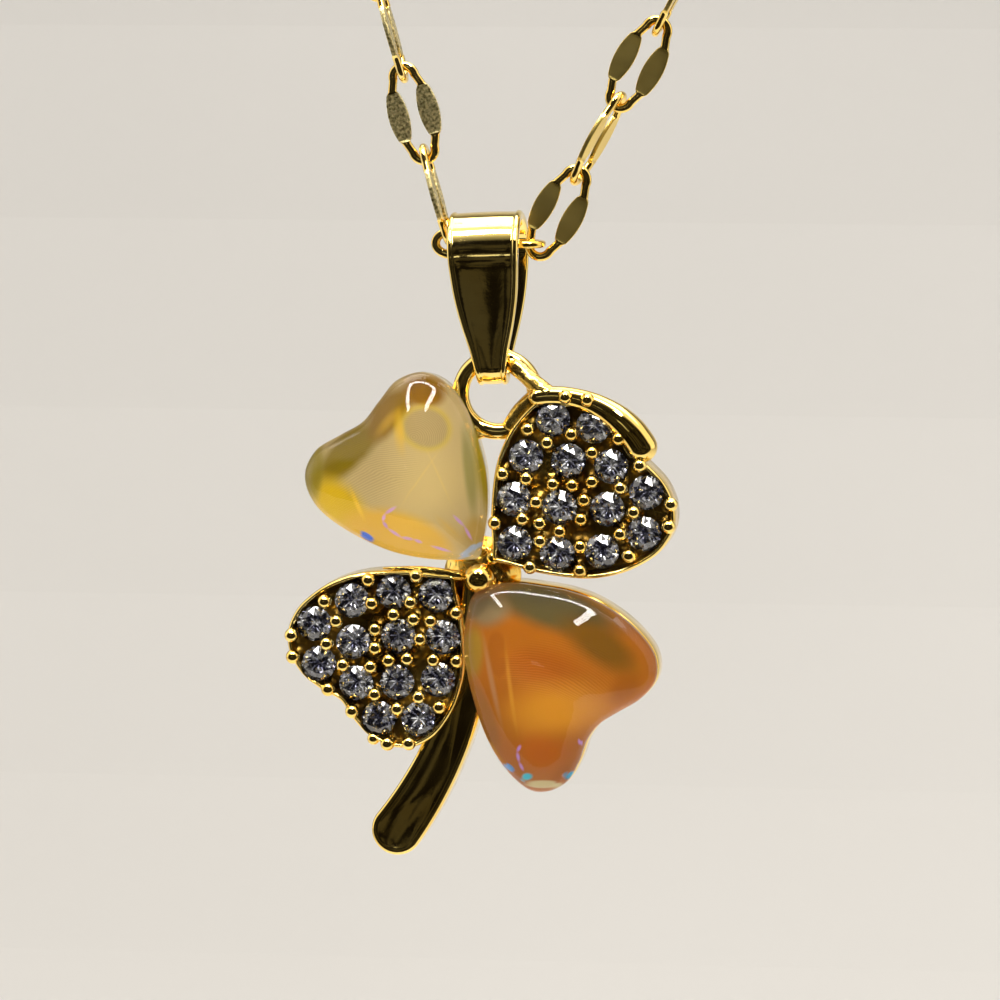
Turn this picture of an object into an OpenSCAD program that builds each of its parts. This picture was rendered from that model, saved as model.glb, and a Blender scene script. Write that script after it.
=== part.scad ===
// Four leaf clover pendant hanging from a necklace chain of flat plate links, in millimetres.
// X runs to the viewer's right, Z up and -Y towards the viewer.
// The origin is the highest point of the chain's loop, where the necklace hangs.
// The clover is drawn flat, with its own x to the right, y up and z towards the viewer.

/* [Leaves] */
// Length of a leaf from its tip to the top of its lobes
leaf_len = 7.3; // [6.8:0.1:8.4]
// Width of a leaf across its two lobes
leaf_w = 7; // [6.4:0.1:7.4]
// Front face of the stone-set leaves, in front of the middle plane
set_front = 0.7; // [0.5:0.05:1]
// Front face of the plates under the heart stones, in front of the middle plane
tray_front = 0.25; // [0.15:0.05:0.4]
// How far those plates stand out round the heart stones
tray_lip = 0.05; // [0:0.01:0.15]
// Back face of the leaves, behind the middle plane
leaf_back = 0.9; // [0.7:0.05:1.2]
// Width of the raised rim round a stone-set leaf
rim_w = 0.22; // [0.15:0.01:0.3]
// Height of that rim
rim_h = 0.14; // [0.08:0.01:0.25]

/* [Cut stones] */
// Diameter of a small cut stone
stone_d = 1.35; // [1.1:0.01:1.4]
// Gap between a small stone and its seat
stone_fit = 0.03; // [0.02:0.005:0.06]
// Radius of the metal beads that hold the stones
bead_r = 0.23; // [0.15:0.01:0.28]

/* [Heart stones] */
// Height of the upright edge of a heart stone
heart_edge = 0.5; // [0.3:0.05:0.8]
// Height of its dome above that edge
heart_dome = 1.75; // [1:0.05:2.4]
// Gap between a heart stone and the metal
heart_fit = 0.05; // [0.03:0.01:0.1]

/* [Ring, curl and stem] */
// How far the ring hangs right of the bail's middle
ring_shift = 0.2; // [0:0.02:0.24]
// Clear radius of the ring that the bail holds
ring_in = 1.12; // [1:0.01:1.4]
// Thickness of the ring's wire
ring_wire = 0.65; // [0.5:0.01:0.75]
// Thickness of the curled wire beside the ring
curl_wire = 0.96; // [0.7:0.02:1.1]
// Height of the curled wire's middle in front of the ring's
curl_raise = 0.55; // [0.4:0.01:0.65]
// Thickness of the bar that joins the ring to the curled wire, at its thick end
shoulder_d = 0.8; // [0.6:0.02:0.9]
// Straight length of the stem from the middle of the clover
stem_len = 10.4; // [8:0.1:12]
// Width of the stem at its root
stem_root_w = 1.3; // [1:0.05:1.6]
// Width of the stem at its end
stem_end_w = 2; // [1.4:0.05:2.4]
// Sideways bow of the stem
stem_bow = 0.85; // [0.4:0.05:1.2]
// Front face of the stem, in front of the middle plane
stem_front = 0.45; // [0.3:0.05:0.6]
// Back face of the stem, behind the middle plane
stem_back = 1.15; // [0.9:0.05:1.4]
// Radius of the bead at the middle of the clover
hub_bead_r = 0.56; // [0.4:0.02:0.7]

/* [Bail] */
// Height of the bail
bail_h = 6.7; // [6:0.1:8]
// Width of the bail near its top
bail_w = 2.9; // [2.4:0.05:3]
// Width of the bail at its foot
bail_foot_w = 1.22; // [1:0.02:1.4]
// Thickness of its strap
bail_strap = 0.4; // [0.3:0.01:0.5]
// Room round the chain link inside its top
bail_room = 0.35; // [0.3:0.01:0.5]
// Room beside the ring's wire inside its foot
foot_room = 0.18; // [0.15:0.01:0.3]

/* [Chain] */
// Length of the whole necklace round its loop
chain_len = 406; // [380:2:450]
// Length of a link
link_l = 4.1; // [4:0.05:4.6]
// Width of a link across its two plates
link_w = 2; // [1.9:0.02:2.1]
// Width of a link's wire
link_wire = 0.36; // [0.3:0.01:0.38]
// Thickness of a link
link_t = 0.3; // [0.24:0.01:0.34]
// Length of the plate on each side of a link
plate_l = 1.95; // [1.6:0.05:2]
// Width of that plate
plate_w = 0.8; // [0.6:0.02:0.84]
// Room beside the wire inside a link's end
link_room = 0.19; // [0.17:0.01:0.22]
// Gap between two links along the chain
link_gap = 0.14; // [0.12:0.01:0.18]
// Reach of the upright end of the link in the bail, from the bail's middle to the centre of its bend
upright_reach = 1.67; // [1.6:0.01:1.9]
// Turn of the second link on the right from edge-on, in degrees
link_turn = 14; // [0:1:16]
// Lean of the left strand from upright, in degrees
lean_left = 15.6; // [12:0.1:20]
// Lean of the right strand from upright, in degrees
lean_right = 28.5; // [24:0.1:32]

/* [Clasp] */
// Length of the clasp's barrel
barrel_l = 6; // [5:0.1:8]
// Diameter of the barrel
barrel_d = 2.2; // [1.6:0.1:3]
// Clear radius of the eye at each end of the clasp
eye_in = 0.5; // [0.46:0.01:0.6]
// Width of the metal round an eye
eye_rim = 0.45; // [0.35:0.01:0.5]
// Thickness of an eye
eye_t = 0.45; // [0.3:0.01:0.5]

/* [Hidden] */
$fn = 64;
gold = "goldenrod";
amber = "darkorange";
clear = "lightcyan";

// Points of half a heart leaf's outline, from the tip up the side to the notch:
// [across, as a share of the half width; along, as a share of the length]
HALF_HEART = [
    [0, 0.012],
    [0.11, 0.042],
    [0.42, 0.17],
    [0.72, 0.355],
    [0.94, 0.6],
    [1, 0.79],
    [0.88, 0.935],
    [0.6, 0.998],
    [0.28, 0.975],
    [0, 0.95],
];

// The same for a stone-set leaf, which is a little shorter
HALF_SET = [
    [0, 0],
    [0.14, 0.045],
    [0.44, 0.155],
    [0.76, 0.31],
    [0.94, 0.455],
    [1.02, 0.59],
    [1.03, 0.71],
    [0.94, 0.825],
    [0.75, 0.905],
    [0.5, 0.94],
    [0.22, 0.93],
    [0, 0.905],
];
curve_steps = 4;

// Each leaf: [x of its tip, y of its tip, both as shares of the leaf length; direction; size as a share]
UPPER_HEART = [0.011, 0.105, 131, 1];
LOWER_HEART = [-0.005, -0.075, -48, 1.04];
UPPER_SET = [0.085, 0.1, 39, 1.03];
LOWER_SET = [-0.13, 0.012, -132, 1];
SET_LEAVES = [UPPER_SET, LOWER_SET];
HEART_LEAVES = [UPPER_HEART, LOWER_HEART];

// Places of the stones in a set leaf: [across, along], as shares like the outline's.
// A stone off the middle line has a twin on the other side.
STONE_ROWS = [
    [0, 0.14],
    [0.37, 0.279],
    [0, 0.437],
    [0.645, 0.466],
    [0.33, 0.625],
    [0.78, 0.695],
    [0, 0.778],
    [0.45, 0.836],
];

// Places of the beads between the stones, in the same way
BEAD_ROWS = [
    [0.3, 0.13],
    [0.15, 0.255],
    [0, 0.31],
    [0.66, 0.32],
    [0.2, 0.365],
    [0.46, 0.4],
    [0.24, 0.49],
    [0.86, 0.565],
    [0.62, 0.6],
    [0.1, 0.565],
    [0, 0.655],
    [0.53, 0.725],
    [0.24, 0.75],
    [0.88, 0.82],
    [0.71, 0.9],
    [0.18, 0.9],
];

// Proportions of a round brilliant cut, as shares of its radius
table_share = 0.56;
crown_share = 0.32;
star_share = 0.8;
edge_share = 0.06;
pavilion_share = 0.86;
low_share = 0.24;
cut_folds = 8;

// Each level of a heart stone's dome: [size as a share of the outline, height as a share of the dome]
DOME_LEVELS = [
    [0.985, 0.1],
    [0.95, 0.23],
    [0.895, 0.37],
    [0.82, 0.51],
    [0.72, 0.65],
    [0.6, 0.775],
    [0.46, 0.875],
    [0.3, 0.95],
    [0.14, 0.99],
];
dome_top_share = 0.56;

// The bail's straight sides meet its round ends this little inside them
touch_share = 0.998;

// Room left between pieces that hang on each other
touch_gap = 0.12;

// Half widths of the bail on its way down: [height as a share of the bail's, half width between foot and top]
BAIL_SIDE = [
    [0, 0],
    [0.08, 0.03],
    [0.2, 0.2],
    [0.36, 0.54],
    [0.52, 0.79],
    [0.7, 0.93],
    [0.88, 1],
    [1, 0.97],
];

// Places that follow from the sizes
ring_mid = ring_in + ring_wire / 2;
RING_AT = leaf_len * [0.095, 0.97];
CURL_AT = RING_AT + leaf_len * [0.308, -0.54];
curl_r = leaf_len * 0.54;
curl_start = 31;
curl_sweep = 73;
curl_ball_share = 1.04;
shoulder_from = 12;
shoulder_to = 93;
shoulder_share = 0.94;

// Heights to which the seats and trays stay open, past the tallest metal over them
seat_open = curl_raise + curl_wire;
tray_open = tray_front + heart_edge + heart_dome;

// Direction of the stem from the middle of the clover, in degrees
stem_turn = -108;

// A link's round ends
end_in = link_wire / 2 + link_room;
end_mid = end_in + link_wire / 2;
end_out = end_in + link_wire;

// The bail's opening is a round top and a round foot joined by straight sides
top_in = link_w / 2 + bail_room;
foot_in = ring_wire / 2 + foot_room;
top_out = top_in + bail_strap;
foot_out = foot_in + bail_strap;
bail_drop = bail_h - top_out - foot_out;
ring_hang = ring_in - sqrt(pow(ring_in, 2) - pow(bail_foot_w / 2 + ring_shift, 2)) + stone_fit;
ring_rise = ring_hang + ring_wire / 2 - foot_in;
link_rise = top_in - end_out - touch_gap;

// The chain's loop: two straight strands that lean apart, joined by an arc
pitch = link_l - 2 * link_wire - link_gap;
wire_l = link_l - link_wire;
hook = link_wire + link_gap;
clasp_reach = barrel_l + 4 * eye_in + 2 * eye_rim - link_wire - 2 * link_gap;
half_angle = (lean_left + lean_right) / 2;
tilt = (lean_right - lean_left) / 2;
apex_depth = (upright_reach + wire_l / 2) / (tan(lean_left) + tan(lean_right));
skip_left = apex_depth / cos(lean_left) + end_mid;
skip_right = apex_depth / cos(lean_right);
links = 2 * round(((chain_len - clasp_reach - upright_reach - wire_l / 2) / pitch - 1) / 2) + 1;
path_len = links * pitch + clasp_reach;
loop_r = (path_len + skip_left + skip_right) / (2 / tan(half_angle) + PI * (180 + 2 * half_angle) / 180);
LOOP_AT = [0, -loop_r];
APEX = LOOP_AT - loop_r / sin(half_angle) * [sin(tilt), cos(tilt)];
UP_LEFT = [-sin(lean_left), cos(lean_left)];
UP_RIGHT = [sin(lean_right), cos(lean_right)];
LEFT_FOOT = APEX + skip_left * UP_LEFT;
RIGHT_FOOT = APEX + skip_right * UP_RIGHT;
straight_left = loop_r / tan(half_angle) - skip_left;
arc_len = loop_r * PI * (180 + 2 * half_angle) / 180;
top_s = straight_left + loop_r * PI * (90 + lean_left) / 180;
links_left = 2 * round(((top_s - clasp_reach / 2) / pitch - 1) / 2) + 1;
links_right = links - links_left;

// The bail's hinge line, and the clover's below it
LINK_AT = RIGHT_FOOT - [wire_l / 2, 0];
BAIL_AT = LINK_AT - [0, link_rise];
SWING_AT = BAIL_AT - [0, bail_drop - ring_rise];
HUB_AT = SWING_AT + [ring_shift, -ring_mid] - RING_AT;

stone_total = 26;
STONE_NAMES = [for (i = [1 : stone_total]) str("cut_stone_", i)];

// A point on the smooth curve through b and c, at share t between them
function between(a, b, c, d, t) =
    0.5 * (2 * b + (c - a) * t + (2 * a - 5 * b + 4 * c - d) * t * t + (3 * b - a - 3 * c + d) * t * t * t);

// A closed smooth curve through points
function closed_curve(points, steps) =
    let (n = len(points))
    [for (i = [0 : n - 1], j = [0 : steps - 1])
        between(points[(i + n - 1) % n], points[i], points[(i + 1) % n], points[(i + 2) % n], j / steps)];

// A closed outline moved outwards by d
function grown(points, d) =
    let (n = len(points))
    [for (i = [0 : n - 1])
        let (way = points[(i + 1) % n] - points[(i + n - 1) % n])
        points[i] + d * [way.y, -way.x] / norm(way)];

// A leaf's outline with its tip at the origin, pointing along +y, moved outwards by d
function leaf_outline(table, size, d = 0) =
    let (
        last = len(table) - 1,
        half = [for (p = table) size * [p.x * leaf_w / 2, p.y * leaf_len]],
        mirrored = [for (i = [last - 1 : -1 : 1]) [-half[i].x, half[i].y]]
    )
    grown(closed_curve(concat(half, mirrored), curve_steps), d);

// All places of a table of rows, with their twins
function places(rows) =
    [for (p = rows, side = p.x == 0 ? [1] : [1, -1]) [side * p.x * leaf_w / 2, p.y * leaf_len]];

// A point of a leaf's own drawing, in the clover's drawing
function on_leaf(leaf, p) =
    let (a = leaf[2] - 90, q = leaf[3] * p)
    leaf_len * [leaf[0], leaf[1]] + [q.x * cos(a) - q.y * sin(a), q.x * sin(a) + q.y * cos(a)];

STONES_AT = [for (leaf = SET_LEAVES, p = places(STONE_ROWS)) on_leaf(leaf, p)];
BEADS_AT = [for (leaf = SET_LEAVES, p = places(BEAD_ROWS)) on_leaf(leaf, p)];

// A point on the chain's path, s along it from the left foot over the top to the right foot
function path_point(s) =
    s < straight_left ? LEFT_FOOT + s * UP_LEFT :
    s > straight_left + arc_len ? RIGHT_FOOT + (path_len - s) * UP_RIGHT :
    let (a = 180 + lean_left - (s - straight_left) / loop_r * 180 / PI)
    LOOP_AT + loop_r * [cos(a), sin(a)];

// Puts a drawing of the clover upright at its place
module upright() {
    translate([HUB_AT.x, 0, HUB_AT.y]) rotate([90, 0, 0]) children();
}

module on_leaf_plane(leaf) {
    translate(leaf_len * [leaf[0], leaf[1]]) rotate(leaf[2] - 90) children();
}

// A plate with a leaf's outline, between two heights
module leaf_plate(table, leaf, low, high, d = 0) {
    translate([0, 0, low])
        linear_extrude(high - low)
            on_leaf_plane(leaf) polygon(leaf_outline(table, leaf[3], d));
}

// A raised rim round a set leaf
module leaf_rim(leaf) {
    translate([0, 0, set_front - rim_h])
        linear_extrude(2 * rim_h)
            on_leaf_plane(leaf)
                difference() {
                    polygon(leaf_outline(HALF_SET, leaf[3]));
                    polygon(leaf_outline(HALF_SET, leaf[3], -rim_w));
                }
}

// The bore and cone under one small stone, open to the front
module stone_seat() {
    r = stone_d / 2;
    wide = r + stone_fit;
    deep = pavilion_share * r + 2 * stone_fit;
    rotate_extrude()
        polygon([[0, -deep - edge_share * r], [wide, -edge_share * r], [wide, seat_open], [0, seat_open]]);
}

// The stem's outline: two arcs that part towards a round end
module stem_outline() {
    half_chord = stem_len / 2;
    r = (pow(half_chord, 2) + pow(stem_bow, 2)) / (2 * stem_bow);
    spread = asin(half_chord / r);
    steps = 12;
    middle = [half_chord, stem_bow - r];
    function edge(t, side) =
        let (
            a = 90 + spread - 2 * spread * t,
            w = stem_root_w + (stem_end_w - stem_root_w) * t
        )
        middle + (r + side * w / 2) * [cos(a), sin(a)];
    upper = [for (i = [0 : steps]) edge(i / steps, 1)];
    lower = [for (i = [steps : -1 : 0]) edge(i / steps, -1)];
    polygon(concat(upper, lower));
    translate([stem_len, 0]) circle(d = stem_end_w);
}

module stem() {
    translate([0, 0, -stem_back])
        linear_extrude(stem_back + stem_front)
            rotate(stem_turn) stem_outline();
}

// The hanging ring, and the curled wire that runs from it over the upper set leaf
module ring_and_curl() {
    translate(RING_AT)
        rotate_extrude() translate([ring_mid, 0]) circle(d = ring_wire);
    translate([CURL_AT.x, CURL_AT.y, curl_raise]) {
        rotate(curl_start)
            rotate_extrude(angle = curl_sweep) translate([curl_r, 0]) circle(d = curl_wire);
        rotate(curl_start) translate([curl_r, 0]) sphere(d = curl_ball_share * curl_wire);
    }
    from = concat(RING_AT + ring_mid * [sin(shoulder_from), cos(shoulder_from)], [0]);
    to = concat(CURL_AT + curl_r * [cos(shoulder_to), sin(shoulder_to)], [curl_raise]);
    way = to - from;
    translate(from)
        rotate([0, acos(way.z / norm(way)), atan2(way.y, way.x)])
            cylinder(d1 = shoulder_share * ring_wire, d2 = shoulder_d, h = norm(way));
}

// The disc that joins the four leaves behind, the bead over it, and the small bridge under the ring
module joinery() {
    hub_r = 1.5;
    translate([0, 0, -leaf_back]) cylinder(r = hub_r, h = leaf_back + tray_front);
    translate([0, 0, set_front]) sphere(r = hub_bead_r);
    cylinder(r = hub_bead_r, h = set_front);
    bridge_l = 2;
    bridge_d = 0.6;
    translate(concat(RING_AT - [0.16, 0.2] * leaf_len, [0]))
        rotate([0, 90, 0]) cylinder(d = bridge_d, h = bridge_l);
}

module clover_frame() {
    color(gold)
        upright()
            difference() {
                union() {
                    for (leaf = SET_LEAVES) {
                        leaf_plate(HALF_SET, leaf, -leaf_back, set_front);
                        leaf_rim(leaf);
                    }
                    for (leaf = HEART_LEAVES) leaf_plate(HALF_HEART, leaf, -leaf_back, tray_front, tray_lip);
                    for (p = BEADS_AT) translate([p.x, p.y, set_front]) sphere(r = bead_r);
                    ring_and_curl();
                    joinery();
                    stem();
                }
                for (leaf = HEART_LEAVES) leaf_plate(HALF_HEART, leaf, tray_front, tray_open, heart_fit);
                for (p = STONES_AT) translate([p.x, p.y, set_front]) stone_seat();
            }
}

// A heart stone: an upright edge under a dome that closes over the middle of the leaf
module heart_stone(leaf) {
    outline = leaf_outline(HALF_HEART, leaf[3]);
    n = len(outline);
    middle = [0, dome_top_share * leaf_len * leaf[3]];
    base = tray_front + stone_fit;
    levels = concat([[1, -heart_edge / heart_dome], [1, 0]], DOME_LEVELS);
    rings = [for (v = levels, p = outline)
        let (q = middle + v.x * (p - middle))
        [q.x, q.y, base + heart_edge + v.y * heart_dome]];
    top = [[middle.x, middle.y, base + heart_edge + heart_dome]];
    last = len(levels) - 1;
    floor_face = [[for (i = [0 : n - 1]) i]];
    sides = [for (k = [0 : last - 1], i = [0 : n - 1])
        let (j = (i + 1) % n)
        each [
            [k * n + i, (k + 1) * n + i, (k + 1) * n + j],
            [k * n + i, (k + 1) * n + j, k * n + j],
        ]];
    cap = [for (i = [0 : n - 1]) [last * n + i, (last + 1) * n, last * n + (i + 1) % n]];
    color(amber)
        upright()
            translate(leaf_len * [leaf[0], leaf[1], 0])
                rotate(leaf[2] - 90)
                    polyhedron(concat(rings, top), concat(floor_face, sides, cap), convexity = 4);
}

module heart_stone_upper() heart_stone(UPPER_HEART);

module heart_stone_lower() heart_stone(LOWER_HEART);

// A round brilliant: table, stars, kites and halves above its edge, mains and halves below
module brilliant() {
    r = stone_d / 2;
    f = round(cut_folds);
    step = 360 / f;
    edge = edge_share * r;
    function ring_of(count, radius, z, turn) =
        [for (i = [0 : count - 1])
            let (a = turn + 360 * i / count)
            [radius * cos(a), radius * sin(a), z]];
    points = concat(
        ring_of(f, table_share * r, crown_share * r, 0),
        ring_of(f, star_share * r, 0.52 * crown_share * r, step / 2),
        ring_of(2 * f, r, 0, 0),
        ring_of(2 * f, r, -edge, 0),
        ring_of(f, low_share * r, -edge - (1 - low_share) * 0.93 * pavilion_share * r, step / 2),
        [[0, 0, -edge - pavilion_share * r]]
    );
    star = f;
    upper = 2 * f;
    lower = 4 * f;
    deep = 6 * f;
    culet = 7 * f;
    faces = concat(
        [[for (i = [f - 1 : -1 : 0]) i]],
        [for (i = [0 : f - 1])
            let (
                j = (i + 1) % f,
                u = upper + 2 * i,
                v = upper + 2 * i + 1,
                w = upper + 2 * j,
                d = deep + i,
                e = deep + (i + f - 1) % f
            )
            each [
                [i, j, star + i],
                [i, star + i, u],
                [star + i, v, u],
                [star + i, w, v],
                [star + i, j, w],
                [u, v, v + 2 * f, u + 2 * f],
                [v, w, w + 2 * f, v + 2 * f],
                [u + 2 * f, v + 2 * f, d],
                [v + 2 * f, w + 2 * f, d],
                [u + 2 * f, d, culet],
                [u + 2 * f, culet, e],
            ]]
    );
    polyhedron(points, faces, convexity = 2);
}

module cut_stone(i) {
    p = STONES_AT[i];
    color(clear)
        upright() translate([p.x, p.y, set_front]) brilliant();
}

// Two cylinders below each other and the straight sides between them, seen from the side
module strap_loop(top_r, foot_r, wide) {
    slope = asin((top_r - foot_r) / bail_drop);
    touch = touch_share * [cos(slope), -sin(slope)];
    cylinder(r = top_r, h = wide, center = true);
    translate([0, -bail_drop, 0]) cylinder(r = foot_r, h = wide, center = true);
    linear_extrude(wide, center = true)
        polygon([
            top_r * touch,
            foot_r * touch - [0, bail_drop],
            foot_r * [-touch.x, touch.y] - [0, bail_drop],
            top_r * [-touch.x, touch.y],
        ]);
}

module bail() {
    low = -bail_drop - foot_out;
    widths = [for (p = BAIL_SIDE) [(bail_foot_w + p.y * (bail_w - bail_foot_w)) / 2, low + p.x * bail_h]];
    last = len(widths) - 1;
    left_side = [for (i = [last : -1 : 0]) [-widths[i].x, widths[i].y]];
    color(gold)
        translate([BAIL_AT.x, 0, BAIL_AT.y])
            intersection() {
                rotate([90, 0, 90])
                    difference() {
                        strap_loop(top_out, foot_out, bail_w + 1);
                        strap_loop(top_in, foot_in, bail_w + 2);
                    }
                rotate([90, 0, 0])
                    linear_extrude(2 * top_out + 1, center = true)
                        polygon(concat(widths, left_side));
            }
}

// A flat wire loop along x with round ends, whose bends are centred at two places
module wire_loop(left_bend, right_bend) {
    module round_bar(r) {
        for (x = [left_bend, right_bend]) translate([x, 0]) circle(r = r);
        translate([left_bend, -r]) square([right_bend - left_bend, 2 * r]);
    }
    difference() {
        round_bar(end_out);
        round_bar(end_in);
    }
}

// One flat link along x: a wire loop whose two long sides widen into plates
module link() {
    bend = wire_l / 2 - end_mid;
    lens_l = 1.25 * plate_l;
    lens_r = (pow(lens_l / 2, 2) + pow(plate_w / 2, 2)) / plate_w;
    linear_extrude(link_t, center = true) {
        wire_loop(-bend, bend);
        for (side = [-1, 1])
            translate([0, side * (link_w - plate_w) / 2])
                intersection() {
                    translate([0, lens_r - plate_w / 2]) circle(r = lens_r);
                    translate([0, plate_w / 2 - lens_r]) circle(r = lens_r);
                    square([plate_l, plate_w], center = true);
                }
    }
}

// The link inside the bail: its right end lies level, and a quarter turn in its sides stands its left end upright
module turned_link() {
    turn_half = 0.8;
    slices = 10;
    lap = 0.02;
    bend = wire_l / 2 - end_mid;
    module half_loop(side)
        linear_extrude(link_t, center = true)
            intersection() {
                wire_loop(-upright_reach, bend);
                translate([side > 0 ? turn_half - lap : lap - turn_half - link_l, -link_w / 2])
                    square([link_l, link_w]);
            }
    half_loop(1);
    rotate([90, 0, 0]) half_loop(-1);
    rotate([0, -90, 0])
        linear_extrude(2 * turn_half, twist = 90, slices = slices, segments = 8, center = true)
            for (side = [-1, 1]) translate([0, side * end_mid]) square([link_t, link_wire], center = true);
}

// Puts what lies along x between two points of the loop, rolled about its own length
module between_points(from, to, roll = 0) {
    way = to - from;
    middle = (from + to) / 2;
    translate([middle.x, 0, middle.y])
        rotate([0, -atan2(way.y, way.x), 0])
            rotate([roll, 0, 0]) children();
}

// The strands start with an upright link on the left and a face-on link on the right, and then take turns
module chain() {
    color(gold) {
        translate([LINK_AT.x, 0, LINK_AT.y]) turned_link();
        for (i = [1 : links_left])
            between_points(path_point((i - 1) * pitch - hook), path_point(i * pitch), i % 2 == 1 ? 0 : 90) link();
        for (i = [1 : links_right])
            between_points(
                path_point(path_len - i * pitch),
                path_point(path_len - (i - 1) * pitch + hook),
                i % 2 == 1 ? 90 : i == 2 ? link_turn : 0
            ) link();
    }
}

// A plain barrel with a flat eye at each end, which the last links pass through
module clasp() {
    eye_out = eye_in + eye_rim;
    eye_at = barrel_l / 2 + eye_out;
    neck_l = 2 * (eye_at - eye_in) - eye_rim;
    module eyes(r, thick)
        for (side = [-1, 1])
            translate([side * eye_at, 0, 0])
                rotate([90, 0, 0]) cylinder(r = r, h = thick, center = true);
    color(gold)
        between_points(path_point(links_left * pitch), path_point(links_left * pitch + clasp_reach))
            difference() {
                union() {
                    rotate([0, 90, 0]) cylinder(d = barrel_d, h = barrel_l, center = true);
                    eyes(eye_out, eye_t);
                    cube([neck_l, eye_t, eye_out], center = true);
                }
                eyes(eye_in, 2 * eye_t);
            }
}

clover_frame();
heart_stone_upper();
heart_stone_lower();
for (i = [0 : stone_total - 1]) cut_stone(i);
bail();
chain();
clasp();
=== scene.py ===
import math

import bmesh
import bpy
import numpy as np
from mathutils import Matrix, Vector


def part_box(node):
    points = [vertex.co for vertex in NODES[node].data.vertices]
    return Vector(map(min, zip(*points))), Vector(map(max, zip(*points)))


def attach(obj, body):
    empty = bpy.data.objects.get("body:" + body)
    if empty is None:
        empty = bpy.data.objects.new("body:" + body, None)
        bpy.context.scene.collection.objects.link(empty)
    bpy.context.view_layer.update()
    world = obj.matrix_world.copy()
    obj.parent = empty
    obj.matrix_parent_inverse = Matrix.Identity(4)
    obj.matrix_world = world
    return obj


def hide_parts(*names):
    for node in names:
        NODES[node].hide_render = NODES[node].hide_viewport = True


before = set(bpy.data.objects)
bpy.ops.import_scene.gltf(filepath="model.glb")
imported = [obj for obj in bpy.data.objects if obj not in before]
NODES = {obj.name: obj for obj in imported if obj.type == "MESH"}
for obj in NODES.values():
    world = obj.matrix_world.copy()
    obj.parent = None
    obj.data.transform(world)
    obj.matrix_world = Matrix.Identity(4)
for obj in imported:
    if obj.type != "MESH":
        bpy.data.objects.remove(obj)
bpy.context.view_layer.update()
MM = 0.001

# Sizes in millimetres and turns in degrees, the same as the source's
LEAF_LEN, LEAF_W = 7.3, 7.0
SET_FRONT, TRAY_FRONT, LEAF_BACK = 0.7, 0.25, 0.9
TRAY_LIP, RIM_W, RIM_H = 0.05, 0.22, 0.14
STONE_D, STONE_FIT, BEAD_R = 1.35, 0.03, 0.23
HEART_EDGE, HEART_DOME, DOME_TOP = 0.5, 1.75, 0.56
RING_IN, RING_WIRE, CURL_WIRE = 1.12, 0.65, 0.96
STEM_LEN, STEM_ROOT_W, STEM_END_W, STEM_BOW = 10.4, 1.3, 2.0, 0.85
STEM_FRONT, STEM_BACK, STEM_TURN = 0.45, 1.15, -108
HUB_BEAD_R, HUB_R = 0.56, 1.5
BAIL_H, BAIL_W, BAIL_FOOT_W, BAIL_STRAP, BAIL_ROOM, FOOT_ROOM = 6.7, 2.9, 1.22, 0.4, 0.35, 0.18
CHAIN_LEN, LINK_L, LINK_W, LINK_WIRE, LINK_T = 406, 4.1, 2.0, 0.36, 0.3
PLATE_L, PLATE_W, LINK_ROOM, LINK_GAP, UPRIGHT_REACH = 1.95, 0.8, 0.19, 0.14, 1.67
LEAN_LEFT, LEAN_RIGHT, LINK_TURN = 15.6, 28.5, 14
BARREL_L, BARREL_D, EYE_IN, EYE_RIM, EYE_T = 6.0, 2.2, 0.5, 0.45, 0.45

# Sizes that only the looks have
LOWER_LIFT = 0.21
UPPER_TRAY_INSET, LOWER_TRAY_INSET = 0.12, 0.03
PLATE_MID, FIELD_SHARE, FIELD_DEPTH, RIM_FALL = 0.55, 0.925, 0.3, 0.14
STALK_H, STALK_R, SEAT_SINK, SEAT_SLOPE = 0.36, 0.27, 0.06, 0.95
RIM_ROUND, TRAY_ROUND = 0.16, 0.1
BEAD_GROWTH, BEAD_RAISE = 0.05, 0.17
MIDDLE_BEAD_X, MIDDLE_BEAD_SHARE = 0.06, 1.05
CURL_END, CURL_AROUND = 5, 32
SHOULDER_FROM, SHOULDER_TO = 12, 93
BRIDGE_R = 0.3
BAIL_LEAN, BAIL_SHARE = 2.4, 0.96
PANEL_INSET, PANEL_SINK, PANEL_CROWN = 0.27, 0.05, 0.025
# Chain and clasp are drawn a little thinner, so that they stay inside the solids
THIN = 0.98
NARROW, LENS_SHARE, PLATE_THIN, NEAR_LINKS = 0.43, 1.45, 0.36, 6
BAIL_LINK_TWIST = 0.8

# Half outlines from the tip to the notch: across, along, as shares of the leaf
HALF_HEART = [
    (0, 0.012), (0.11, 0.042), (0.42, 0.17), (0.72, 0.355), (0.94, 0.6),
    (1, 0.79), (0.88, 0.935), (0.6, 0.998), (0.28, 0.975), (0, 0.95),
]
HALF_SET = [
    (0, 0), (0.14, 0.045), (0.44, 0.155), (0.76, 0.31), (0.94, 0.455), (1.02, 0.59),
    (1.03, 0.71), (0.94, 0.825), (0.75, 0.905), (0.5, 0.94), (0.22, 0.93), (0, 0.905),
]
# The lower heart's two lobes differ: its whole outline from the tip round to the tip
LOWER_OUTLINE = [
    (0.05, 0), (0.26, 0.065), (0.44, 0.145), (0.62, 0.26), (0.8, 0.42), (0.95, 0.6),
    (1.01, 0.77), (0.97, 0.92), (0.82, 0.995), (0.6, 1.02), (0.37, 0.985), (0.15, 0.93),
    (-0.06, 0.91), (-0.28, 0.925), (-0.56, 0.95), (-0.8, 0.935), (-0.95, 0.87), (-1.02, 0.77),
    (-1.01, 0.61), (-0.92, 0.445), (-0.77, 0.31), (-0.58, 0.195), (-0.38, 0.09), (-0.14, 0.01),
]
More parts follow.
